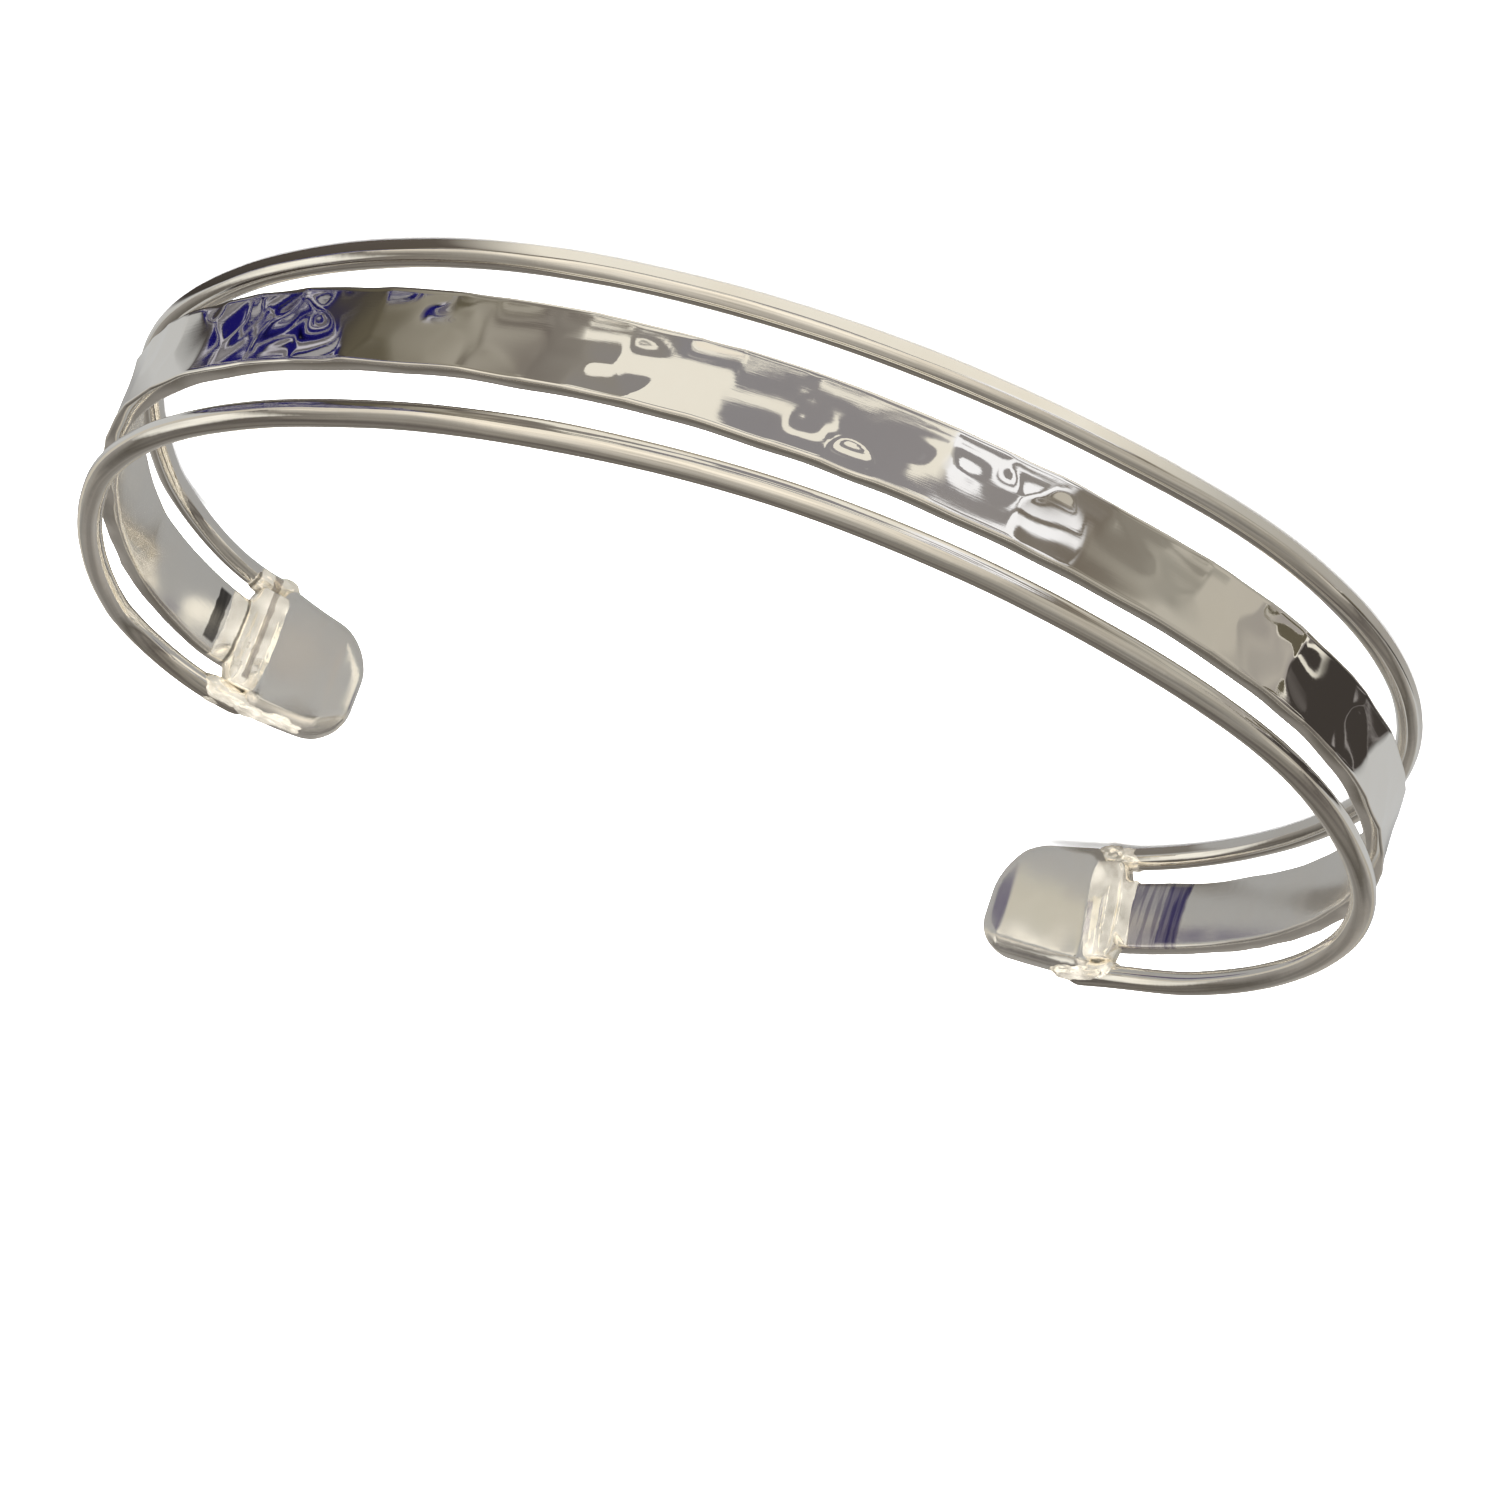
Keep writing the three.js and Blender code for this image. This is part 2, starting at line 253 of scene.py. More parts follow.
class CuffPlan:
    """Path of the cuff in plan, and the heights of its strips along it."""

    def __init__(self, sizes):
        self.sizes = sizes
        self.wire_radius = sizes.wire_diameter / 2
        self.crown_spacing = sizes.band_width + 2 * sizes.slot_width + sizes.wire_diameter
        self.seat_spacing = sizes.tab_width - 2 * sizes.wire_seat_inset
        self.tab_lengths = {LEFT: sizes.left_tab_length, RIGHT: sizes.right_tab_length}
        self.lifts = {LEFT: sizes.left_seat_lift, RIGHT: sizes.right_seat_lift}
        # Distance from the crown to the base of each tab
        self.seats = {
            side: self.chain_length(BENDS[side]) - self.tab_lengths[side] for side in (LEFT, RIGHT)
        }
        self.shift = Vector((0, 0))
        self.seat_on_frame()

    def chain_length(self, bends):
        return sum(radius * self.sizes.cuff_width * math.radians(sweep) for radius, sweep in bends)

    def strip_ends(self):
        """Where the band and the wires start and end, inside the tabs."""
        overlap = self.sizes.strip_overlap
        return -self.seats[LEFT] - overlap, self.seats[RIGHT] + overlap

    def place_on_chain(self, bends, distance):
        """Place and outward direction on the +X half, a distance from the crown."""
        x = y = heading = 0.0
        left = distance
        for number, (share, sweep) in enumerate(bends):
            radius = share * self.sizes.cuff_width
            turn = left / radius
            if number < len(bends) - 1:
                turn = min(turn, math.radians(sweep))
            x += radius * (math.sin(heading + turn) - math.sin(heading))
            y += radius * (math.cos(heading) - math.cos(heading + turn))
            heading += turn
            left -= turn * radius
            if left <= 0:
                break
        return Vector((x, y)), Vector((math.sin(heading), -math.cos(heading)))

    def place(self, along):
        """Place and outward direction, a signed distance from the crown."""
        side = RIGHT if along >= 0 else LEFT
        spot, outward = self.place_on_chain(BENDS[side], side * along)
        spot.x, outward.x = side * spot.x, side * outward.x
        return spot + self.shift, outward

    def seat_on_frame(self):
        """Moves the plan so that the wires touch the sides of the frame's box."""
        low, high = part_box(CAD_NODE)
        samples = 400
        run = self.seats[LEFT] + self.seats[RIGHT]
        reach = []
        for step in range(samples + 1):
            spot, outward = self.place(-self.seats[LEFT] + run * step / samples)
            reach.append(spot + outward * self.wire_radius)
        middle = (min(p.x for p in reach) + max(p.x for p in reach)) / 2
        self.shift = Vector(((low.x + high.x) / 2 - middle, low.y - min(p.y for p in reach)))

    def seat_share(self, along):
        """Share of the way to a tab."""
        side = RIGHT if along >= 0 else LEFT
        return side * along / self.seats[side]

    def signed_share(self, along):
        return math.copysign(self.seat_share(along), along)

    def lower_wire_height(self, along):
        lift = self.lifts[RIGHT if along >= 0 else LEFT]
        rows = ((WIRE_SPREAD[-1][0], 0.0), (1.0, lift))
        return self.wire_radius + smooth_value(rows, self.seat_share(along))

    def upper_wire_height(self, along):
        rows = [(at, share * self.crown_spacing) for at, share in WIRE_SPREAD]
        rows.append((1.0, self.seat_spacing))
        return self.lower_wire_height(along) + smooth_value(rows, self.seat_share(along))

    def lower_wire_tuck(self, along):
        return smooth_value(LOWER_WIRE_TUCK, self.signed_share(along)) * self.sizes.wire_diameter

    def upper_wire_tuck(self, along):
        return 0.0

    def middle_height(self, along):
        return (self.lower_wire_height(along) + self.upper_wire_height(along)) / 2

    def band_height(self, along):
        drift = smooth_value(BAND_DRIFT, self.signed_share(along)) * self.sizes.slot_width
        return self.middle_height(along) + drift


def smooth_value(rows, at):
    """Smooth curve through a table's rows, with level ends."""
    if at <= rows[0][0]:
        return rows[0][1]
    if at >= rows[-1][0]:
        return rows[-1][1]
    after = next(i for i, row in enumerate(rows) if row[0] > at)
    before = after - 1

    def slope_at(i):
        if i == 0 or i == len(rows) - 1:
            return 0.0
        return (rows[i + 1][1] - rows[i - 1][1]) / (rows[i + 1][0] - rows[i - 1][0])

    span = rows[after][0] - rows[before][0]
    t = (at - rows[before][0]) / span
    rise = (rows[after][1] - rows[before][1]) * t * t * (3 - 2 * t)
    start = slope_at(before) * span * t * (1 - t) * (1 - t)
    end = slope_at(after) * span * t * t * (t - 1)
    return rows[before][1] + rise + start + end


def ease(value):
    """Smooth step from 0 to 1."""
    value = max(0.0, min(1.0, value))
    return value * value * (3 - 2 * value)


def noise_at(*place):
    return noise.noise(Vector(place))


def stray(along, unevenness, seed):
    """Slow unevenness along the cuff: unevenness is (how much, over what distance)."""
    amount, period = unevenness
    return amount * noise_at(along / period, seed, 0.5 * seed)


def straight_bar(start, end, width, thickness):
    """Starts a piece as a square bar along X."""
    bm = bmesh.new()
    shape = Matrix.Diagonal((end - start, width, thickness, 1))
    middle = Matrix.Translation(((start + end) / 2, 0, 0))
    bmesh.ops.create_cube(bm, size=1, matrix=middle @ shape)
    return bm


def round_off(bm, geometry, radius, segments, affect="EDGES"):
    bmesh.ops.bevel(
        bm,
        geom=geometry,
        offset=radius,
        segments=segments,
        affect=affect,
        profile=0.5,
        material=-1,
    )


def lengthwise_edges(bm, least):
    """Edges that run along X for at least a length."""
    found = []
    for edge in bm.edges:
        run = edge.verts[1].co - edge.verts[0].co
        if abs(run.x) >= least and abs(run.x) > 100 * max(abs(run.y), abs(run.z)):
            found.append(edge)
    return found


def bend_round(bm, plan, to_strip):
    """Bends a straight piece round the plan. Each vertex keeps its straight place in
    the attribute "strip", for patterns that follow the metal."""
    strip = bm.verts.layers.float_vector.new("strip")
    for vert in bm.verts:
        vert[strip] = vert.co.copy()
        along, height, outward = to_strip(vert.co.x, vert.co.y, vert.co.z)
        spot, direction = plan.place(along)
        spot = spot + direction * outward
        vert.co = (spot.x, spot.y, height)


def finish_piece(bm, name, materials):
    """Turns a finished bmesh into a piece of the cuff that stands for the solid."""
    bmesh.ops.recalc_face_normals(bm, faces=bm.faces)
    for face in bm.faces:
        face.smooth = True
    mesh = bpy.data.meshes.new(name)
    bm.to_mesh(mesh)
    bm.free()
    piece = bpy.data.objects.new(name, mesh)
    bpy.context.scene.collection.objects.link(piece)
    for material in materials:
        mesh.materials.append(material)
    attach(piece, BODY)
    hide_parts(CAD_NODE)
    return piece


def cut_into_rings(bm, length, step):
    """Cuts the edges that run along a straight piece, so that it can bend."""
    edges = lengthwise_edges(bm, length / 2)
    bmesh.ops.subdivide_edges(bm, edges=edges, cuts=int(length / step), use_grid_fill=True)


def hammer_marks(plan, sizes, seed):
    """Places, radii and depths of the hammer marks, in wandering rows."""
    draw = random.Random(seed)
    pitch, wander = sizes.dent_pitch, sizes.dent_wander
    start, end = plan.strip_ends()
    count = int((end - start) / pitch) + 2
    marks = []
    for row in range(MARK_ROWS):
        for number in range(count):
            along = start + (number + row / MARK_ROWS) * pitch + draw.uniform(-1, 1) * wander
            up = (row - (MARK_ROWS - 1) / 2) * sizes.band_width / MARK_ROWS
            up += draw.uniform(-1, 1) * wander
            radius = draw.uniform(*MARK_RADII) * sizes.dent_radius
            depth = draw.uniform(*MARK_DEPTHS) * sizes.dent_depth
            marks.append((along, up, radius, depth))
    marks.sort()
    return marks


def dent_depth(marks, along, up):
    """Depth of the marks at a point of the band: soft ridges are left between them."""
    total = 0.0
    for mark_along, mark_up, radius, depth in marks:
        if mark_along < along - radius:
            continue
        if mark_along > along + LARGEST_MARK:
            break
        reach = ((along - mark_along) ** 2 + (up - mark_up) ** 2) / radius**2
        if reach < 1:
            total += (depth * (1 - reach)) ** RIDGE_SHARPNESS
    return total ** (1 / RIDGE_SHARPNESS)


def make_hammered_band(sizes, finish):
    """Nearly flat strip, hammered on its outer face."""
    plan = CuffPlan(sizes)
    marks = hammer_marks(plan, sizes, finish.seed)
    start, end = plan.strip_ends()
    ring_step = 0.19 * MM
    columns = 26
    bm = straight_bar(start, end, sizes.band_width, sizes.band_thickness)
    round_off(bm, lengthwise_edges(bm, (end - start) / 2), sizes.band_edge_round, 4)
    cut_into_rings(bm, end - start, ring_step)
    half_width = sizes.band_width / 2
    across = [e for e in bm.edges if abs(e.verts[0].co.y - e.verts[1].co.y) > half_width]
    bmesh.ops.subdivide_edges(bm, edges=across, cuts=columns, use_grid_fill=True)
    for face in bm.faces:
        if face.calc_center_median().z < -0.2 * sizes.band_thickness:
            face.material_index = 1

    def to_strip(along, up, outward):
        share = up / half_width
        level = sizes.band_dish * (share * share - 0.5) + outward
        if outward > 0:
            level -= dent_depth(marks, along, up)
        level += stray(along, BAND_STRAY, 3.1)
        edge_wave = stray(along, BAND_EDGE_WAVE, 9.7 + math.copysign(2, up)) * share * share
        return along, plan.band_height(along) + up + edge_wave, level

    bend_round(bm, plan, to_strip)
    return finish_piece(bm, "hammered_band", [hammered_silver(finish), satin_silver(finish, plan)])


def make_edge_wire(sizes, finish, name, height_at, tuck_at, seed):
    """Round wire, filed and polished by hand, so that it is never quite even."""
    plan = CuffPlan(sizes)
    start, end = plan.strip_ends()
    sides = 28
    ring_step = 0.3 * MM
    end_thinning = 0.6
    bm = bmesh.new()
    middle = Matrix.Translation(((start + end) / 2, 0, 0))
    bmesh.ops.create_cone(
        bm,
        cap_ends=True,
        cap_tris=False,
        segments=sides,
        radius1=plan.wire_radius,
        radius2=plan.wire_radius,
        depth=end - start,
        matrix=middle @ Matrix.Rotation(math.pi / 2, 4, "Y"),
    )
    cut_into_rings(bm, end - start, ring_step)

    def to_strip(along, up, outward):
        around = math.atan2(up, outward)
        flats, period = WIRE_FLATS
        swell = 1 + flats * noise_at(along / period, math.cos(around) + seed, math.sin(around))
        swell *= 1 + stray(along, WIRE_SWELL, seed)
        stray_up = stray(along, WIRE_RISE, seed + 4) * ease(up / plan.wire_radius + 1)
        stray_out = stray(along, WIRE_SWAY, seed + 8) - tuck_at(plan, along)
        past_seat = max(along - plan.seats[RIGHT], -along - plan.seats[LEFT], 0.0)
        swell *= 1 - end_thinning * ease(past_seat / sizes.strip_overlap)
        return along, height_at(plan, along) + up * swell + stray_up, outward * swell + stray_out

    bend_round(bm, plan, to_strip)
    return finish_piece(bm, name, [wire_silver(finish)])


def tab_blank(sizes, length, shares):
    """Flat rounded pad: X from its base to its tip, Y up, Z outward."""
    width, thickness, base_corner = sizes.tab_width, sizes.tab_thickness, sizes.tab_base_corner
    low, high = -width / 2, width / 2
    tip_low = low + shares["lower_taper"] * width
    tip_high = high - shares["upper_taper"] * width
    corners = (
        (0.0, low, base_corner),
        (length, tip_low, shares["lower_corner"] * width),
        (length, tip_high, shares["upper_corner"] * width),
        (-shares["base_reach"] * width, high, base_corner),
    )
    corner_segments, rim_segments = 10, 8
    bm = bmesh.new()
    verts = [bm.verts.new((x, y, -thickness / 2)) for x, y, radius in corners]
    bm.faces.new(verts)
    for vert, (x, y, radius) in zip(verts, corners):
        round_off(bm, [vert], radius, corner_segments, "VERTICES")
    grown = bmesh.ops.extrude_face_region(bm, geom=bm.faces[:])
    top = [item for item in grown["geom"] if isinstance(item, bmesh.types.BMVert)]
    bmesh.ops.translate(bm, verts=top, vec=(0, 0, thickness))
    rim = [e for e in bm.edges if abs(e.verts[0].co.z - e.verts[1].co.z) < thickness / 2]
    round_off(bm, rim, sizes.tab_edge_round, rim_segments)
    return bm


def slice_across(bm, axis, start, end, step):
    """Cuts a mesh at even steps along an axis, so that its flat faces can bend."""
    normal = Vector((0, 0, 0))
    normal[axis] = 1
    for number in range(1, int((end - start) / step) + 1):
        spot = normal * (start + number * step)
        geometry = bm.verts[:] + bm.edges[:] + bm.faces[:]
        bmesh.ops.bisect_plane(bm, geom=geometry, dist=1e-7, plane_co=spot, plane_no=normal)


def make_end_tab(sizes, finish, side):
    """Rounded pad at one end, thinner at its tip."""
    plan = CuffPlan(sizes)
    shares = OUTLINES[side]
    length, seat = plan.tab_lengths[side], plan.seats[side]
    middle = plan.middle_height(side * seat)
    bm = tab_blank(sizes, length, shares)
    step = 0.25 * MM
    slice_across(bm, 0, -shares["base_reach"] * sizes.tab_width, length, step)
    slice_across(bm, 1, -sizes.tab_width / 2, sizes.tab_width / 2, step)
    tip_thinning = 0.5
    wear, period = TAB_WEAR

    def to_strip(x, y, z):
        near_tip = max(0.0, (x - length + sizes.tab_tip_run) / sizes.tab_tip_run)
        worn = wear * noise_at(x / period, y / period, 3 * side * MM / period)
        outward = z * (1 - tip_thinning * near_tip) - sizes.tab_inward + worn
        return side * (seat + x), middle + y, outward

    bend_round(bm, plan, to_strip)
    return finish_piece(bm, SIDE_NAMES[side] + "_end_tab", [tab_silver(finish)])


def add_lump(bm, middle, radii, seed):
    """Adds a lump of solder: middle and radii as (along, height, outward)."""
    made = bmesh.ops.create_icosphere(bm, subdivisions=5, radius=1)
    for vert in made["verts"]:
        way = vert.co.normalized()
        bumps = noise.fractal(way * 1.3 + Vector((seed, 0, 0)), 1.0, 2.0, 2)
        swell = 1 + LUMP_ROUGHNESS * bumps
        vert.co = Vector(a * b * swell for a, b in zip(way, radii)) + Vector(middle)


def make_fillet(plan, sizes, side, seed):
    """Solder that runs up from the band's inner face over the tab's base."""
    profile = FILLETS[side]
    first, last = profile[0][0] * MM, profile[-1][0] * MM
    middle = plan.middle_height(side * plan.seats[side])
    band_inside = sizes.band_thickness / 2 + sizes.band_dish / 2
    band_half = sizes.band_width / 2 - 0.02 * MM
    tab_half = sizes.tab_width / 2 - sizes.tab_base_corner
    base_slope = OUTLINES[side]["base_reach"]
    # The fillet is as wide as the band, and widens to the tab over a short way
    widening_start, widening_run = -1.5 * MM, 0.4 * MM
    thickness = 0.4 * MM
    cuts = 56
    bm = straight_bar(first, last, 1, thickness)
    wide = [e for e in bm.edges if abs(e.verts[0].co.z - e.verts[1].co.z) < thickness / 2]
    bmesh.ops.subdivide_edges(bm, edges=wide, cuts=cuts, use_grid_fill=True)
    bump_height, bump_period = FILLET_BUMPS
    for vert in bm.verts:
        x, across, z = vert.co
        share = 2 * across
        reach = ease((x - widening_start) / widening_run)
        up = share * (band_half + reach * (tab_half - band_half))
        base = -base_slope * (up + sizes.tab_width / 2)
        bumps = bump_height * noise_at(x / bump_period, up / bump_period, seed)
        rise = smooth_value(profile, x / MM) + bumps * ease((x / MM + 2.3) / 0.8)
        sunk = -0.04 + 0.54 * reach
        rise = sunk + (rise - sunk) * (1 - abs(share) ** 5)
        inward = band_inside + rise * MM if z < 0 else 0.1 * MM
        vert.co = (side * (plan.seats[side] + base + x), middle + up, -inward)
    return bm


def make_solder(sizes, finish, side):
    """Solder of one tab: lumps round each wire, and a fillet between band and tab."""
    plan = CuffPlan(sizes)
    along = side * plan.seats[side]
    corner = along - side * OUTLINES[side]["base_reach"] * sizes.tab_width
    bm = make_fillet(plan, sizes, side, 9.3 + side)
    lumps = [(along, plan.lower_wire_height(along), *lump) for lump in LOWER_LUMPS]
    lumps += [(corner, plan.upper_wire_height(along), *lump) for lump in UPPER_LUMPS[side]]
    for number, (foot, height, (tipward, up, outward), shares) in enumerate(lumps):
        middle = (foot + side * tipward * MM, height + up * MM, outward * MM)
        radii = [share * sizes.solder_radius for share in shares]
        add_lump(bm, middle, radii, 5 * side + number)
    bend_round(bm, plan, lambda x, y, z: (x, y, z))
    return finish_piece(bm, SIDE_NAMES[side] + "_solder", [solder_silver(finish, plan)])


# The surroundings that the polish shows, by direction round the cuff in degrees from
# the front towards the photograph's right
CREAM = (0.86, 0.82, 0.72)
HORIZON = (0.96, 0.89, 0.76)
WHITE, GREY, BLACK = (1.0, 1.0, 1.0), (0.6, 0.6, 0.6), (0.0, 0.0, 0.0)
PALE_SIDE, DIM_BACK = (0.55, 0.55, 0.54), (0.38, 0.375, 0.365)
DARK_WALL, OLIVE_WALL = (0.05, 0.043, 0.038), (0.12, 0.105, 0.07)
BLUE, LILAC = (0.01, 0.008, 0.115), (0.62, 0.6, 0.66)
WINDOW_COLOR = (0.95, 0.92, 0.83)
RING_COLORS = (
    (-180, DIM_BACK),
    (-125, DIM_BACK),
    (-108, PALE_SIDE),
    (-85, PALE_SIDE),
    (-83, DARK_WALL),
    (-60, DARK_WALL),
    (-57, OLIVE_WALL),
    (-49, OLIVE_WALL),
    (-43, (0.22, 0.2, 0.16)),
    (-38, (0.16, 0.14, 0.12)),
    (-30, (0.26, 0.24, 0.21)),
    (-20, (0.25, 0.24, 0.25)),
    (11, (0.28, 0.265, 0.27)),
    (20, (0.26, 0.24, 0.22)),
    (26, (0.17, 0.145, 0.115)),
    (34, (0.28, 0.26, 0.22)),
    (44, (0.38, 0.36, 0.31)),
    (59, (0.34, 0.31, 0.29)),
    (60, DARK_WALL),
    (79, DARK_WALL),
    (81, PALE_SIDE),
    (108, PALE_SIDE),
    (125, DIM_BACK),
)
NEAR_COLORS = (
    (-125, DIM_BACK),
    (-100, PALE_SIDE),
    (-88, PALE_SIDE),
    (-84, DARK_WALL),
    (-44, (0.11, 0.095, 0.08)),
    (-34, CREAM),
    (20, CREAM),
    (36, (0.5, 0.48, 0.43)),
    (60, (0.36, 0.34, 0.31)),
    (90, PALE_SIDE),
    (125, DIM_BACK),
)
GLOW = (
    (-120, GREY),
    (-80, GREY),
    (-50, WHITE),
    (0, (0.88, 0.88, 0.88)),
    (13, (0.84, 0.84, 0.84)),
    (26, (0.54, 0.54, 0.54)),
    (60, (0.45, 0.45, 0.45)),
)


def stretch_of(start, full, full_end, end, level=WHITE):
    """Ramp rows that are dark but for one stretch."""
    return ((-180, BLACK), (start, BLACK), (full, level), (full_end, level), (end, BLACK))


# Where the ring has contours, and where the room has a bright window
CONTOUR_SHARE = stretch_of(-83, -82, -62, -60)
FAR_CONTOUR_SHARE = stretch_of(-63, -62, -52, -50)
WINDOW_SHARE = stretch_of(-128, -120, -100, -92)

# Patterns that break the ring, each laid over the ones before it: blobs per metre,
# distortion, the levels of the blobs that it covers, where it is, and its colour
PATTERNS = (
    (
        (63.0, 230.0, 90.0),
        0.6,
        ((0.0, BLACK), (0.495, BLACK), (0.5, WHITE)),
        stretch_of(-33, -31, 10, 12),
        CREAM,
    ),
    (
        (90.0, 220.0, 120.0),
        1.0,
        ((0.0, BLACK), (0.45, BLACK), (0.49, WHITE)),
        stretch_of(8, 11, 23, 27),
        (0.96, 0.96, 0.98),
    ),
    (
        (70.0, 110.0, 90.0),
        1.4,
        ((0.0, BLACK), (0.46, BLACK), (0.62, GREY)),
        stretch_of(-56, -52, -37, -34, GREY) + stretch_of(25, 30, 52, 58)[1:],
        (0.6, 0.56, 0.48),
    ),
    (
        (150.0, 150.0, 150.0),
        0.8,
        ((0.0, BLACK), (0.555, BLACK), (0.56, WHITE)),
        stretch_of(44, 47, 61, 64),
        OLIVE_WALL,
    ),
    (
        (150.0, 150.0, 150.0),
        0.8,
        ((0.0, BLACK), (0.55, BLACK), (0.555, WHITE), (0.572, WHITE), (0.577, BLACK)),
        stretch_of(44, 47, 61, 64),
        CREAM,
    ),
    (
        (110.0, 110.0, 110.0),
        1.2,
        ((0.0, BLACK), (0.45, BLACK), (0.46, WHITE), (0.47, WHITE), (0.48, BLACK)),
        stretch_of(60, 62, 77, 79),
        (0.3, 0.28, 0.27),
    ),
)
CONTOURS_PER_METRE = (240.0, 125.0, 150.0)
CONTOUR_COLORS = (
    (0.0, (0.4, 0.39, 0.4)),
    (0.38, (0.34, 0.33, 0.34)),
    (0.385, BLACK),
    (0.41, BLUE),
    (0.45, BLUE),
    (0.46, LILAC),
    (0.468, (0.1, 0.09, 0.1)),
    (0.5, (0.16, 0.15, 0.15)),
    (0.508, LILAC),
    (0.516, BLUE),
    (0.57, BLUE),
    (0.58, BLACK),
    (0.6, LILAC),
    (0.612, (0.12, 0.11, 0.12)),
    (0.66, (0.3, 0.29, 0.3)),
)
# Soft pools on the floor behind the cuff, laid over each other: middle, half length and
# half width in millimetres, turn in degrees, and colour
POOLS = (
    ((5.0, 18.0), 9.2, 4.0, 0, (0.95, 0.9, 0.78)),
    ((-7.8, 18.0), 5.0, 5.0, 0, (0.56, 0.53, 0.44)),
    ((-14.6, 13.2), 3.0, 1.6, -40, (0.95, 0.92, 0.82)),
    ((-5.2, 25.2), 6.5, 4.4, 0, (0.13, 0.115, 0.17)),
    ((14.5, 10.4), 4.2, 4.0, 0, (0.42, 0.39, 0.36)),
    ((-23.5, 20.5), 5.0, 5.0, 0, (0.2, 0.185, 0.165)),
)

# How far the edges between the ring's colours stray
EDGE_STRAY = 7 * MM

# Reflections show the room, and everything else sees a pale world of this strength
PALE_STRENGTH = 3.0

# Broad light over the cuff
KEY_LIGHT_PLACE = Vector((0.1, -0.2, 0.9))
KEY_LIGHT_SIZE = 1.2
KEY_LIGHT_POWER = 30.0

# Half sizes of the floor and the reflector card, and how far the card lies below the floor
FLOOR_SIZE, CARD_SIZE = 3.0, 2.5
CARD_DEPTH = 0.2 * MM

# Distances from the middle, as shares of the cuff's own size, over which the ring takes
# over from the near card, its far contours begin, and the horizon takes over from it
RING_START = (1.11, 1.13)
FAR_CONTOUR_START = (1.36, 1.4)
RING_END = (2.2, 2.5)

# The front of the room from the horizon up over the top to the back, in degrees
ROOM_COLORS = (
    (0, HORIZON),
    (20, (0.9, 0.83, 0.71)),
    (38, (0.74, 0.69, 0.6)),
    (50, (0.58, 0.54, 0.47)),
    (62, (0.5, 0.465, 0.41)),
    (74, (0.44, 0.41, 0.36)),
    (84, (0.32, 0.295, 0.255)),
    (100, (0.24, 0.22, 0.19)),
    (118, (0.13, 0.115, 0.1)),
    (139, (0.18, 0.165, 0.145)),
    (150, (0.12, 0.108, 0.09)),
    (158, (0.2, 0.185, 0.165)),
    (166, (0.27, 0.25, 0.225)),
    (180, (0.34, 0.325, 0.3)),
)


def add_node(tree, kind, place, values=None, **settings):
    """Adds a shader node at a (column, row) place, with its settings. values are those of
    its inputs, and a value that is another node's socket is linked."""
    node = tree.nodes.new("ShaderNode" + kind)
    node.location = (place[0] * 220, -place[1] * 180)
    for key, value in settings.items():
        setattr(node, key, value)
    for key, value in (values or {}).items():
        if isinstance(value, bpy.types.NodeSocket):
            tree.links.new(value, node.inputs[key])
        else:
            node.inputs[key].default_value = value
    return node


def add_math(tree, place, operation, *values):
    values = dict(enumerate(values))
    return add_node(tree, "Math", place, values, operation=operation).outputs[0]


def add_vector_math(tree, place, operation, *values):
    values = dict(enumerate(values))
    node = add_node(tree, "VectorMath", place, values, operation=operation)
    return node.outputs["Value" if operation == "LENGTH" else "Vector"]


def add_noise(tree, place, vector, scale, detail, roughness=0.5, distortion=0.0):
    values = {
        "Vector": vector,
        "Scale": scale,
        "Detail": detail,
        "Roughness": roughness,
        "Distortion": distortion,
    }
    return add_node(tree, "TexNoise", place, values).outputs


def add_range(tree, place, value, start, end, low=0.0, high=1.0):
    """low before start, high after end, and straight between them."""
    values = {"Value": value, "From Min": start, "From Max": end, "To Min": low, "To Max": high}
    return add_node(tree, "MapRange", place, values).outputs[0]


def add_mix(tree, place, factor, first, second, blend="MIX"):
    """Mix of two colours, which may be sockets."""
    values = {0: factor}
    for key, color in ((6, first), (7, second)):
        values[key] = color if isinstance(color, bpy.types.NodeSocket) else (*color, 1.0)
    return add_node(tree, "Mix", place, values, data_type="RGBA", blend_type=blend).outputs[2]


def add_ramp(tree, place, value, rows, low=0.0, high=1.0):
    """Colour ramp of a value from low to high."""
    node = add_node(tree, "ValToRGB", place, {"Fac": value})
    elements = node.color_ramp.elements
    while len(elements) > 1:
        elements.remove(elements[-1])
    elements[0].position = (rows[0][0] - low) / (high - low)
    elements[0].color = (*rows[0][1], 1.0)
    for at, color in rows[1:]:
        element = elements.new((at - low) / (high - low))
        element.color = (*color, 1.0)
    return node.outputs["Color"]


def add_direction(tree, place, source):
    """Share of a full turn, from 0 at the back round by the front to 1."""
    values = {
        "Vector": source,
        "Scale": (-1.0, 1.0, 1.0),
        "Rotation": (0.0, 0.0, math.radians(90)),
    }
    turned = add_node(tree, "Mapping", place, values).outputs[0]
    place = (place[0] + 1, place[1])
    angle = add_node(tree, "TexGradient", place, {"Vector": turned}, gradient_type="RADIAL")
    return angle.outputs["Fac"]


def add_turn_ramp(tree, place, direction, rows):
    """Colours by direction, in degrees from the front."""
    return add_ramp(tree, place, direction, rows, -180, 180)


def cleared_tree(owner):
    owner.use_nodes = True
    owner.node_tree.nodes.clear()
    return owner.node_tree


def new_material(name, kind):
    """Material with one shader, and its node tree."""
    material = bpy.data.materials.new(name)
    tree = cleared_tree(material)
    shader = add_node(tree, kind, (11, 0))
    add_node(tree, "OutputMaterial", (12, 0), {"Surface": shader.outputs[0]})
    return material, tree, shader.inputs


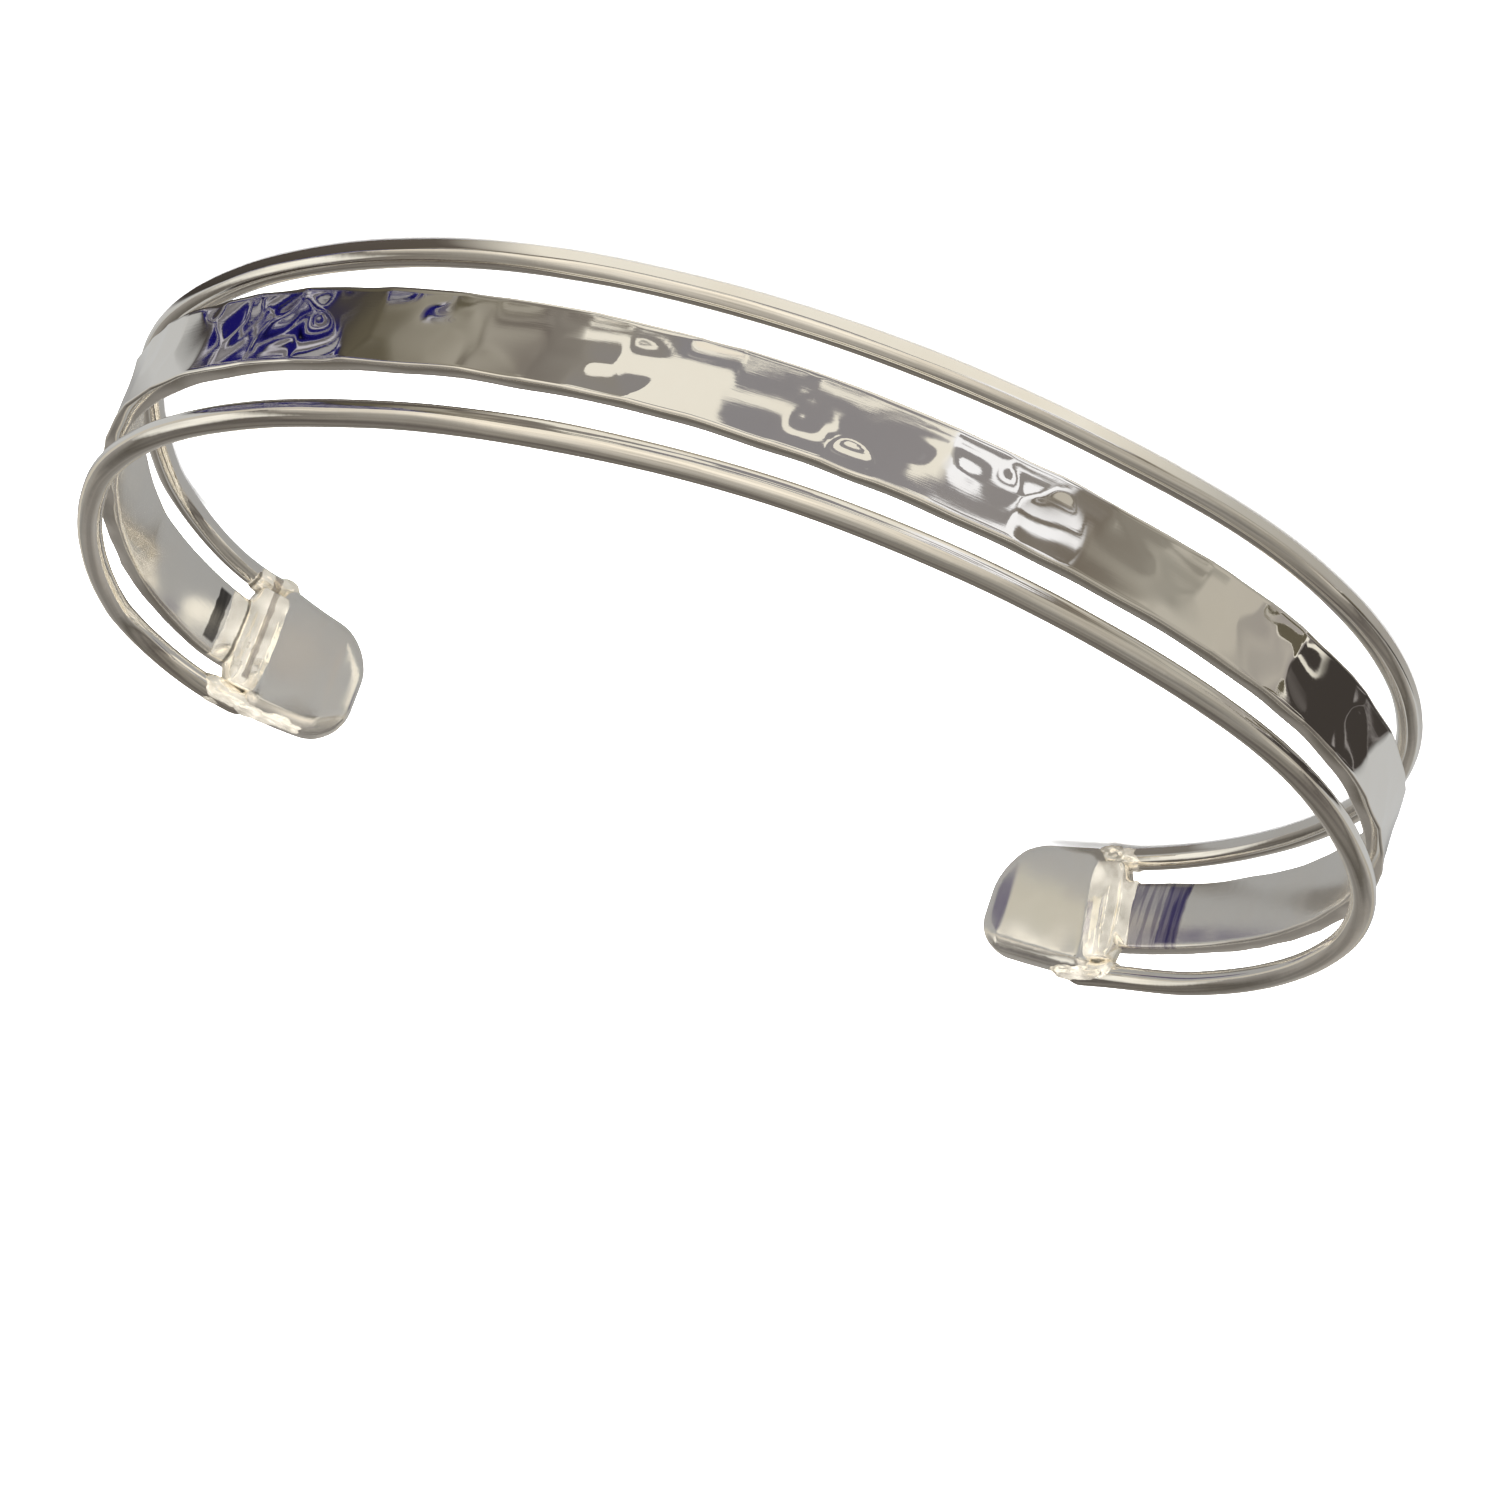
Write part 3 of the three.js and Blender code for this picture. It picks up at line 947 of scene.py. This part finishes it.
def new_group(name, inputs, output):
    """Starts a shader node group: inputs are (name, socket type, default), and output is
    (name, socket type)."""
    tree = bpy.data.node_groups.new(name, "ShaderNodeTree")
    prefix = "NodeSocket"
    for label, kind, default in inputs:
        socket = tree.interface.new_socket(name=label, in_out="INPUT", socket_type=prefix + kind)
        if default is not None:
            socket.default_value = default
    for label, kind in output:
        tree.interface.new_socket(name=label, in_out="OUTPUT", socket_type=prefix + kind)
    start = tree.nodes.new("NodeGroupInput")
    end = tree.nodes.new("NodeGroupOutput")
    end.location = (8 * 220, 0)
    return tree, start.outputs, end.inputs


def polishing_lines_group():
    """Fine scratches that follow the metal, left by polishing along it."""
    name = "Polishing Lines"
    if name in bpy.data.node_groups:
        return bpy.data.node_groups[name]
    tree, given, result = new_group(
        name,
        (
            ("Strip", "Vector", None),
            ("Lines Per Millimetre", "Float", 9.0),
            ("Stretch", "Float", 0.04),
            ("Cover", "Float", 0.5),
        ),
        (("Mask", "Float"),),
    )
    strip = given["Strip"]
    across = add_math(tree, (1, 1), "MULTIPLY", given["Lines Per Millimetre"], 1 / MM)
    along = add_math(tree, (2, 1), "MULTIPLY", across, given["Stretch"])
    scales = add_node(tree, "CombineXYZ", (3, 1), {"X": along, "Y": across, "Z": across})
    stretched = add_vector_math(tree, (4, 0), "MULTIPLY", strip, scales.outputs[0])
    lines = add_noise(tree, (5, 0), stretched, 1.0, 3.0, 0.65)["Fac"]
    patches = add_noise(tree, (5, 1), strip, 260.0, 1.0)["Fac"]
    cover = add_range(tree, (6, 1), patches, 0.35, 0.7, 0.0, given["Cover"])
    mask = add_math(tree, (7, 1), "MULTIPLY", lines, cover)
    tree.links.new(mask, result["Mask"])
    return tree


def handled_group():
    """Slow variation from handling: how warm and how dull the silver has become."""
    name = "Handled Silver"
    if name in bpy.data.node_groups:
        return bpy.data.node_groups[name]
    tree, given, result = new_group(
        name,
        (
            ("Place", "Vector", None),
            ("Patch Size", "Float", 0.004),
            ("Bright", "Color", (0.94, 0.92, 0.89, 1.0)),
            ("Warm", "Color", (0.88, 0.83, 0.76, 1.0)),
        ),
        (("Color", "Color"), ("Dullness", "Float")),
    )
    scale = add_math(tree, (1, 1), "DIVIDE", 1.0, given["Patch Size"])
    patches = add_noise(tree, (2, 0), given["Place"], scale, 4.0, 0.6)["Fac"]
    spread = add_range(tree, (3, 0), patches, 0.35, 0.7)
    color = add_mix(tree, (4, 0), spread, given["Bright"], given["Warm"])
    tree.links.new(color, result["Color"])
    tree.links.new(spread, result["Dullness"])
    return tree


def painted_shade_band_group():
    """Painted shade and painted dark reflection across the metal, between two distances along it.
    """
    name = "Heat Stain"
    if name in bpy.data.node_groups:
        return bpy.data.node_groups[name]
    tree, given, result = new_group(
        name,
        (
            ("Strip", "Vector", None),
            ("Clean Silver", "Color", (0.94, 0.92, 0.89, 1.0)),
            ("Start", "Float", 0.0),
            ("End", "Float", 0.001),
            ("Half Width", "Float", 0.001),
            ("Pale Painted Shade", "Color", (0.4, 0.38, 0.42, 1.0)),
            ("Deep Painted Shade", "Color", (0.1, 0.09, 0.3, 1.0)),
        ),
        (("Color", "Color"),),
    )
    strip = given["Strip"]
    split = add_node(tree, "SeparateXYZ", (1, 0), {0: strip}).outputs
    ragged = add_noise(tree, (1, 1), strip, 1500.0, 2.0)["Fac"]
    along = add_math(tree, (2, 1), "MULTIPLY_ADD", ragged, 0.25 * MM, split["X"])
    up = add_math(tree, (2, 2), "ABSOLUTE", split["Y"])
    edges = (
        (along, "Start", 0.08 * MM),
        (along, "End", -0.08 * MM),
        (up, "Half Width", -0.12 * MM),
    )
    masks = []
    for row, (value, edge, blur) in enumerate(edges):
        clear = add_math(tree, (3, row), "SUBTRACT", value, given[edge])
        masks.append(add_range(tree, (4, row), clear, 0.0, blur))
    mask = add_math(tree, (5, 0), "MULTIPLY", masks[0], masks[1])
    mask = add_math(tree, (5, 1), "MULTIPLY", mask, masks[2])
    stretched = add_vector_math(tree, (2, 3), "MULTIPLY", strip, (2600.0, 300.0, 300.0))
    streaks = add_noise(tree, (3, 3), stretched, 1.0, 2.0)["Fac"]
    deep = add_range(tree, (4, 3), streaks, 0.42, 0.6)
    # Pale and deep painted shade, streaked along the metal
    shade_band = add_mix(tree, (6, 2), deep, given["Pale Painted Shade"], given["Deep Painted Shade"])
    color = add_mix(tree, (7, 0), mask, given["Clean Silver"], shade_band)
    tree.links.new(color, result["Color"])
    return tree


def silver_material(
    name, roughness, bright, warm, lines, grain, frost=0.0, patch=5 * MM, painted_shade_bands=()
):
    """Silver with its own gloss, bright where it's clean and warm where it's dull. lines is
    (per millimetre, stretch, cover, depth), grain is (size, depth) of a cast or satin
    surface, frost is how far the dull patches, of size patch, have turned matt and white,
    and painted_shade_bands are (start, end, half width, pale colour, deep colour) of painted shade
    along the strip."""
    if name in bpy.data.materials:
        return bpy.data.materials[name]
    material, tree, surface = new_material(name, "BsdfPrincipled")
    link = tree.links.new
    place = add_node(tree, "TexCoord", (0, 0)).outputs["Object"]
    strip = add_node(tree, "Attribute", (0, 2), attribute_name="strip").outputs["Vector"]

    values = {"Place": place, "Patch Size": patch, "Bright": (*bright, 1.0), "Warm": (*warm, 1.0)}
    handled = add_node(tree, "Group", (2, 0), values, node_tree=handled_group()).outputs
    color = handled["Color"]
    # Bands of painted shade and painted dark reflection, laid over the silver's colour
    for row, (start, end, half_width, pale, deep) in enumerate(painted_shade_bands):
        values = {
            "Strip": strip,
            "Clean Silver": color,
            "Start": start,
            "End": end,
            "Half Width": half_width,
            "Pale Painted Shade": (*pale, 1.0),
            "Deep Painted Shade": (*deep, 1.0),
        }
        shade_band = add_node(tree, "Group", (5 + row, -1), values, node_tree=painted_shade_band_group())
        color = shade_band.outputs["Color"]
    link(color, surface["Base Color"])

    per_millimetre, stretch, cover, depth = lines
    values = {
        "Strip": strip,
        "Lines Per Millimetre": per_millimetre,
        "Stretch": stretch,
        "Cover": cover,
    }
    group = polishing_lines_group()
    scratches = add_node(tree, "Group", (2, 2), values, node_tree=group).outputs["Mask"]

    dullness = handled["Dullness"]
    gloss = add_range(tree, (4, 1), dullness, 0.0, 1.0, roughness * 0.8, roughness * 1.5)
    scuffed = add_math(tree, (5, 1), "MULTIPLY_ADD", scratches, 0.08, gloss)
    link(scuffed, surface["Roughness"])
    surface["Metallic"].default_value = 1.0
    if frost:
        metallic = add_range(tree, (5, 0), dullness, 0.0, 1.0, 1 - 0.3 * frost, 1 - frost)
        link(metallic, surface["Metallic"])

    grain_size, grain_depth = grain
    grains = add_noise(tree, (2, 3), place, 1 / grain_size, 3.0)["Fac"]
    values = {"Strength": 1.0, "Distance": grain_depth, "Height": grains}
    grained = add_node(tree, "Bump", (5, 3), values).outputs["Normal"]
    values = {"Strength": 1.0, "Distance": depth, "Height": scratches, "Normal": grained}
    link(add_node(tree, "Bump", (6, 2), values).outputs["Normal"], surface["Normal"])
    return material


def worn_colors(finish, warmth):
    """Bright silver, and a mix of it with the warm silver."""
    warm = [b + (w - b) * warmth for b, w in zip(finish.bright, finish.warm)]
    return {"bright": finish.bright, "warm": warm}


def hammered_silver(finish):
    """Mirror polish over the hammer marks, with a few lengthwise scratches."""
    return silver_material(
        "hammered_silver",
        finish.mirror_roughness,
        lines=(14.0, 0.03, 0.8, 0.0014 * MM),
        grain=(2 * MM, 0.004 * MM),
        **worn_colors(finish, 0.3),
    )


def satin_silver(finish, plan):
    """Brushed inside of the band, with painted dark reflections beside both tabs."""
    left, right = -plan.seats[LEFT], plan.seats[RIGHT]
    # Painted violet-dark reflection beside the left tab, and painted dark reflection beside the
    # right tab
    painted_violet_edge_reflection = ((0.7, 0.67, 0.68), (0.4, 0.37, 0.44))
    painted_violet_reflection = ((0.34, 0.31, 0.42), (0.1, 0.085, 0.24))
    painted_dark_reflection = ((0.2, 0.19, 0.18), (0.1, 0.095, 0.09))
    return silver_material(
        "satin_silver",
        finish.satin_roughness,
        lines=(18.0, 0.03, 1.0, 0.004 * MM),
        grain=(0.5 * MM, 0.003 * MM),
        painted_shade_bands=(
            (left + 1.4 * MM, left + 6.4 * MM, 1.9 * MM, *painted_violet_edge_reflection),
            (left + 4.7 * MM, left + 6.3 * MM, 1.6 * MM, *painted_violet_reflection),
            (right - 3.25 * MM, right - 2.45 * MM, 1.4 * MM, *painted_dark_reflection),
        ),
        **worn_colors(finish, 0.4),
    )


def wire_silver(finish):
    """Polished wire."""
    return silver_material(
        "wire_silver",
        1.4 * finish.mirror_roughness,
        lines=(12.0, 0.02, 0.5, 0.001 * MM),
        grain=(0.8 * MM, 0.006 * MM),
        **worn_colors(finish, 0.6),
    )


def tab_silver(finish):
    """Softly polished tab, with satin patches."""
    return silver_material(
        "tab_silver",
        finish.satin_roughness,
        lines=(10.0, 0.08, 1.0, 0.002 * MM),
        grain=(0.7 * MM, 0.003 * MM),
        frost=0.014,
        **worn_colors(finish, 0.7),
    )


def solder_silver(finish, plan):
    """Pale, lumpy solder that the polishing wheel has only just reached, with painted shade in
    the grooves of its ridge."""
    right = plan.seats[RIGHT]
    # Painted shade in two bands across the ridge of the right tab's solder
    deep_painted_shade = ((0.3, 0.27, 0.22), (0.2, 0.18, 0.14))
    light_painted_shade = ((0.56, 0.5, 0.42), (0.42, 0.38, 0.33))
    return silver_material(
        "solder_silver",
        finish.solder_roughness,
        bright=finish.solder,
        warm=finish.solder,
        lines=(8.0, 0.3, 0.5, 0.002 * MM),
        grain=(0.4 * MM, 0.012 * MM),
        frost=0.2,
        patch=1.2 * MM,
        painted_shade_bands=(
            (right - 1.62 * MM, right - 1.36 * MM, 7 * MM, *deep_painted_shade),
            (right - 0.55 * MM, right - 0.1 * MM, 7 * MM, *light_painted_shade),
        ),
    )


def stage_piece(name, size, height, material):
    """Wide level sheet for the studio."""
    bm = bmesh.new()
    bmesh.ops.create_grid(bm, x_segments=1, y_segments=1, size=size)
    bmesh.ops.translate(bm, verts=bm.verts, vec=(0, 0, height))
    mesh = bpy.data.meshes.new(name)
    bm.to_mesh(mesh)
    bm.free()
    mesh.materials.append(material)
    piece = bpy.data.objects.new(name, mesh)
    bpy.context.scene.collection.objects.link(piece)
    return piece


def add_floor():
    """Wide pale floor. Reflections of it come from the reflector card instead."""
    material, tree, surface = new_material("pale_floor", "BsdfDiffuse")
    surface["Color"].default_value = (0.9, 0.9, 0.9, 1.0)
    floor = stage_piece("floor", FLOOR_SIZE, 0.0, material)
    floor.visible_glossy = False


def add_blobs(tree, place, source, per_metre, distortion):
    """Uneven blobs, with their number per metre along each axis."""
    scaled = add_vector_math(tree, place, "MULTIPLY", source, per_metre)
    return add_noise(tree, (place[0] + 1, place[1]), scaled, 1.0, 1.0, 0.5, distortion)["Fac"]


def ring_color(tree, place, turn, ragged_turn, distance):
    """Ring of muted colours round the cuff, with its patterns."""
    ring = add_turn_ramp(tree, (7, 0), ragged_turn, RING_COLORS)
    for row, (per_metre, distortion, edge, share, color) in enumerate(PATTERNS, 4):
        blobs = add_blobs(tree, (4, row), place, per_metre, distortion)
        inside = add_ramp(tree, (6, row), blobs, edge)
        where = add_turn_ramp(tree, (7, row), turn, share)
        mask = add_math(tree, (8, row), "MULTIPLY", inside, where)
        ring = add_mix(tree, (9, row), mask, ring, color)
    folds = add_blobs(tree, (4, 10), place, CONTOURS_PER_METRE, 1.6)
    contours = add_ramp(tree, (6, 10), folds, CONTOUR_COLORS)
    where = add_turn_ramp(tree, (7, 10), ragged_turn, CONTOUR_SHARE)
    ring = add_mix(tree, (9, 10), where, ring, contours)
    where = add_turn_ramp(tree, (7, 11), ragged_turn, FAR_CONTOUR_SHARE)
    outer = add_range(tree, (7, 12), distance, *FAR_CONTOUR_START)
    where = add_math(tree, (8, 11), "MULTIPLY", where, outer)
    return add_mix(tree, (9, 11), where, ring, contours)


def pools_color(tree, place, color):
    """Soft pools of light and shade over a colour."""
    for row, (middle, length, width, turned, pool_color) in enumerate(POOLS, 12):
        values = {
            "Vector": place,
            "Location": (middle[0] * MM, middle[1] * MM, 0.0),
            "Rotation": (0.0, 0.0, math.radians(turned)),
            "Scale": (length * MM, width * MM, 1.0),
        }
        centred = add_node(tree, "Mapping", (5, row), values, vector_type="TEXTURE").outputs[0]
        away = add_vector_math(tree, (6, row), "LENGTH", centred)
        inside = add_range(tree, (7, row), away, 1.0, 0.75)
        color = add_mix(tree, (8, row), inside, color, pool_color)
    return color


def reflector_material():
    """Surroundings of the cuff as its polish shows them: a ring of muted colours, a
    cream card within and beyond it at the front, and a dimmer floor behind."""
    material, tree, surface = new_material("reflector_card", "Emission")
    place = add_node(tree, "TexCoord", (0, 0)).outputs["Object"]
    y = add_node(tree, "SeparateXYZ", (5, 3), {0: place}).outputs["Y"]

    ragged = add_noise(tree, (1, 2), place, 190.0, 2.0)["Color"]
    centred = add_vector_math(tree, (2, 2), "SUBTRACT", ragged, (0.5, 0.5, 0.5))
    stray_by = add_vector_math(tree, (3, 2), "MULTIPLY", centred, (EDGE_STRAY,) * 3)
    spot = add_vector_math(tree, (4, 1), "ADD", place, stray_by)
    ragged_turn = add_direction(tree, (5, 0), spot)
    turn = add_direction(tree, (5, 1), place)

    # Distance from the middle, as a share of the cuff's own half width and half depth
    shares = (1 / cad_high.x, 1 / cad_high.y, 0.0)
    scaled = add_vector_math(tree, (5, 2), "MULTIPLY", place, shares)
    distance = add_vector_math(tree, (6, 2), "LENGTH", scaled)

    ring = ring_color(tree, place, turn, ragged_turn, distance)
    near = add_turn_ramp(tree, (7, 1), turn, NEAR_COLORS)
    glow = add_turn_ramp(tree, (7, 2), turn, GLOW)
    far = add_mix(tree, (8, 2), 1.0, HORIZON, glow, "MULTIPLY")
    color = add_mix(tree, (9, 1), add_range(tree, (8, 1), distance, *RING_START), near, ring)
    color = add_mix(tree, (9, 2), add_range(tree, (8, 3), distance, *RING_END), color, far)

    dimmed = add_range(tree, (7, 3), y, 0.0, 8 * MM)
    inside_color = pools_color(tree, place, add_mix(tree, (8, 4), dimmed, near, DIM_BACK))
    inside = add_range(tree, (6, 4), distance, 0.98, 0.96)
    to_back = add_range(tree, (6, 5), y, 4 * MM, 8 * MM)
    close = add_range(tree, (6, 6), distance, 1.35, 1.25)
    close_back = add_math(tree, (7, 5), "MULTIPLY", close, to_back)
    behind = add_math(tree, (9, 3), "MAXIMUM", inside, close_back)
    color = add_mix(tree, (10, 1), behind, color, inside_color)
    tree.links.new(color, surface["Color"])
    return material


def add_reflector_card():
    """Card under the cuff that only its reflections show."""
    card = stage_piece("reflector_card", CARD_SIZE, -CARD_DEPTH, reflector_material())
    card.visible_camera = False
    card.visible_diffuse = False
    card.visible_shadow = False


def add_key_light():
    """Broad light over the cuff. The polish doesn't show it."""
    light = bpy.data.lights.new("key_light", "AREA")
    light.shape = "SQUARE"
    light.size = KEY_LIGHT_SIZE
    light.energy = KEY_LIGHT_POWER
    lamp = bpy.data.objects.new("key_light", light)
    bpy.context.scene.collection.objects.link(lamp)
    lamp.location = KEY_LIGHT_PLACE
    lamp.rotation_euler = (-KEY_LIGHT_PLACE).to_track_quat("-Z", "Y").to_euler()
    lamp.visible_camera = False
    lamp.visible_glossy = False


def studio_world():
    """Dim warm room for the reflections, and pale for everything else."""
    world = bpy.data.worlds.new("studio_world")
    tree = cleared_tree(world)
    view = add_node(tree, "TexCoord", (0, 0)).outputs["Generated"]
    split = add_node(tree, "SeparateXYZ", (1, 0), {0: view}).outputs
    ahead = add_math(tree, (1, 1), "MULTIPLY", split["Y"], -1.0)
    angle = add_math(tree, (2, 0), "ARCTAN2", split["Z"], ahead)
    share = add_math(tree, (2, 1), "DIVIDE", angle, math.pi)
    color = add_ramp(tree, (3, 0), share, ROOM_COLORS, 0, 180)
    turn = add_direction(tree, (1, 2), view)
    glow = add_turn_ramp(tree, (3, 2), turn, GLOW)
    front = add_range(tree, (3, 3), ahead, -0.2, 0.3)
    color = add_mix(tree, (4, 0), front, color, glow, "MULTIPLY")

    sideways = add_turn_ramp(tree, (3, 4), turn, WINDOW_SHARE)
    under_top = add_range(tree, (2, 5), split["Z"], 0.6, 0.5)
    over_sill = add_range(tree, (2, 6), split["Z"], -0.05, 0.1)
    upright = add_math(tree, (3, 5), "MULTIPLY", under_top, over_sill)
    window = add_math(tree, (4, 4), "MULTIPLY", sideways, upright)
    color = add_mix(tree, (5, 1), window, color, WINDOW_COLOR)
    uneven = add_noise(tree, (3, 7), view, 3.0, 2.0)["Fac"]
    strength = add_range(tree, (4, 7), uneven, 0.3, 0.7, 0.75, 1.25)

    room = add_node(tree, "Background", (6, 0), {"Color": color, "Strength": strength})
    pale = add_node(tree, "Background", (6, 1), {"Color": (1, 1, 1, 1), "Strength": PALE_STRENGTH})
    glossy = add_node(tree, "LightPath", (6, 2)).outputs["Is Glossy Ray"]
    values = {0: glossy, 1: pale.outputs[0], 2: room.outputs[0]}
    shader = add_node(tree, "MixShader", (7, 0), values).outputs[0]
    add_node(tree, "OutputWorld", (8, 0), {"Surface": shader})
    bpy.context.scene.world = world


# The camera looks at the cuff from above its crown, rolled as in the photograph
CAMERA_AIM = Vector((-1.80, 0.71, 9.21)) * MM
CAMERA_DISTANCE = 187 * MM
CAMERA_AZIMUTH = 3.318
CAMERA_ELEVATION = 19.847
CAMERA_ROLL = 160.847
CAMERA_LENS = 100.19


def add_camera():
    data = bpy.data.cameras.new("camera")
    data.lens = CAMERA_LENS
    data.sensor_width = 36.0
    data.clip_start = 0.005
    data.clip_end = 10.0
    camera = bpy.data.objects.new("camera", data)
    bpy.context.scene.collection.objects.link(camera)
    turn = Matrix.Rotation(math.radians(CAMERA_AZIMUTH), 4, "Z")
    tilt = Matrix.Rotation(math.radians(90 - CAMERA_ELEVATION), 4, "X")
    roll = Matrix.Rotation(math.radians(-CAMERA_ROLL), 4, "Z")
    pose = turn @ tilt @ roll
    back = pose.to_3x3() @ Vector((0, 0, 1))
    camera.matrix_world = Matrix.Translation(CAMERA_AIM + back * CAMERA_DISTANCE) @ pose
    bpy.context.scene.camera = camera
    return camera


def make_stage():
    """Floor, light, room and camera."""
    add_floor()
    add_reflector_card()
    add_key_light()
    studio_world()
    add_camera()
    bpy.context.scene.view_settings.view_transform = "Standard"


def make_edge_wires(sizes, finish):
    lower, upper = CuffPlan.lower_wire_height, CuffPlan.upper_wire_height
    make_edge_wire(sizes, finish, "lower_edge_wire", lower, CuffPlan.lower_wire_tuck, 1.3)
    make_edge_wire(sizes, finish, "upper_edge_wire", upper, CuffPlan.upper_wire_tuck, 6.9)


class CuffOperator:
    """Makes pieces from the scene's sizes and finish."""

    def execute(self, context):
        self.make(context.scene.cuff_sizes, context.scene.cuff_finish)
        return {"FINISHED"}


class CUFF_OT_hammered_band(CuffOperator, bpy.types.Operator):
    """Make the hammered band"""

    bl_idname = "cuff.hammered_band"
    bl_label = "Hammered Band"
    make = staticmethod(make_hammered_band)


class CUFF_OT_edge_wires(CuffOperator, bpy.types.Operator):
    """Make the lower and upper edge wires"""

    bl_idname = "cuff.edge_wires"
    bl_label = "Edge Wires"
    make = staticmethod(make_edge_wires)


class CUFF_OT_end_tabs(CuffOperator, bpy.types.Operator):
    """Make the two rounded end tabs"""

    bl_idname = "cuff.end_tabs"
    bl_label = "End Tabs"

    def make(self, sizes, finish):
        for side in (LEFT, RIGHT):
            make_end_tab(sizes, finish, side)


class CUFF_OT_solder(CuffOperator, bpy.types.Operator):
    """Make the solder at both tabs"""

    bl_idname = "cuff.solder"
    bl_label = "Solder"

    def make(self, sizes, finish):
        for side in (LEFT, RIGHT):
            make_solder(sizes, finish, side)


class CUFF_OT_stage(bpy.types.Operator):
    """Make the floor, the light and the camera"""

    bl_idname = "cuff.stage"
    bl_label = "Stage"

    def execute(self, context):
        make_stage()
        return {"FINISHED"}


PIECE_OPERATORS = (
    CUFF_OT_hammered_band,
    CUFF_OT_edge_wires,
    CUFF_OT_end_tabs,
    CUFF_OT_solder,
    CUFF_OT_stage,
)


class CUFF_PT_panel(bpy.types.Panel):
    """Sizes, finish and pieces of the cuff"""

    bl_label = "Cuff Bracelet"
    bl_idname = "CUFF_PT_panel"
    bl_space_type = "VIEW_3D"
    bl_region_type = "UI"
    bl_category = "Cuff"

    def draw(self, context):
        for operator in PIECE_OPERATORS:
            self.layout.operator(operator.bl_idname)
        for group in (context.scene.cuff_sizes, context.scene.cuff_finish):
            column = self.layout.column()
            for name in group.__annotations__:
                column.prop(group, name)


CLASSES = (CuffSizes, SilverFinish, *PIECE_OPERATORS, CUFF_PT_panel)


def register():
    for cls in CLASSES:
        bpy.utils.register_class(cls)
    bpy.types.Scene.cuff_sizes = PointerProperty(type=CuffSizes)
    bpy.types.Scene.cuff_finish = PointerProperty(type=SilverFinish)


def unregister():
    del bpy.types.Scene.cuff_finish
    del bpy.types.Scene.cuff_sizes
    for cls in reversed(CLASSES):
        bpy.utils.unregister_class(cls)


def main():
    register()
    bpy.ops.cuff.hammered_band()
    bpy.ops.cuff.edge_wires()
    bpy.ops.cuff.end_tabs()
    bpy.ops.cuff.solder()
    bpy.ops.cuff.stage()


if __name__ == "__main__":
    main()
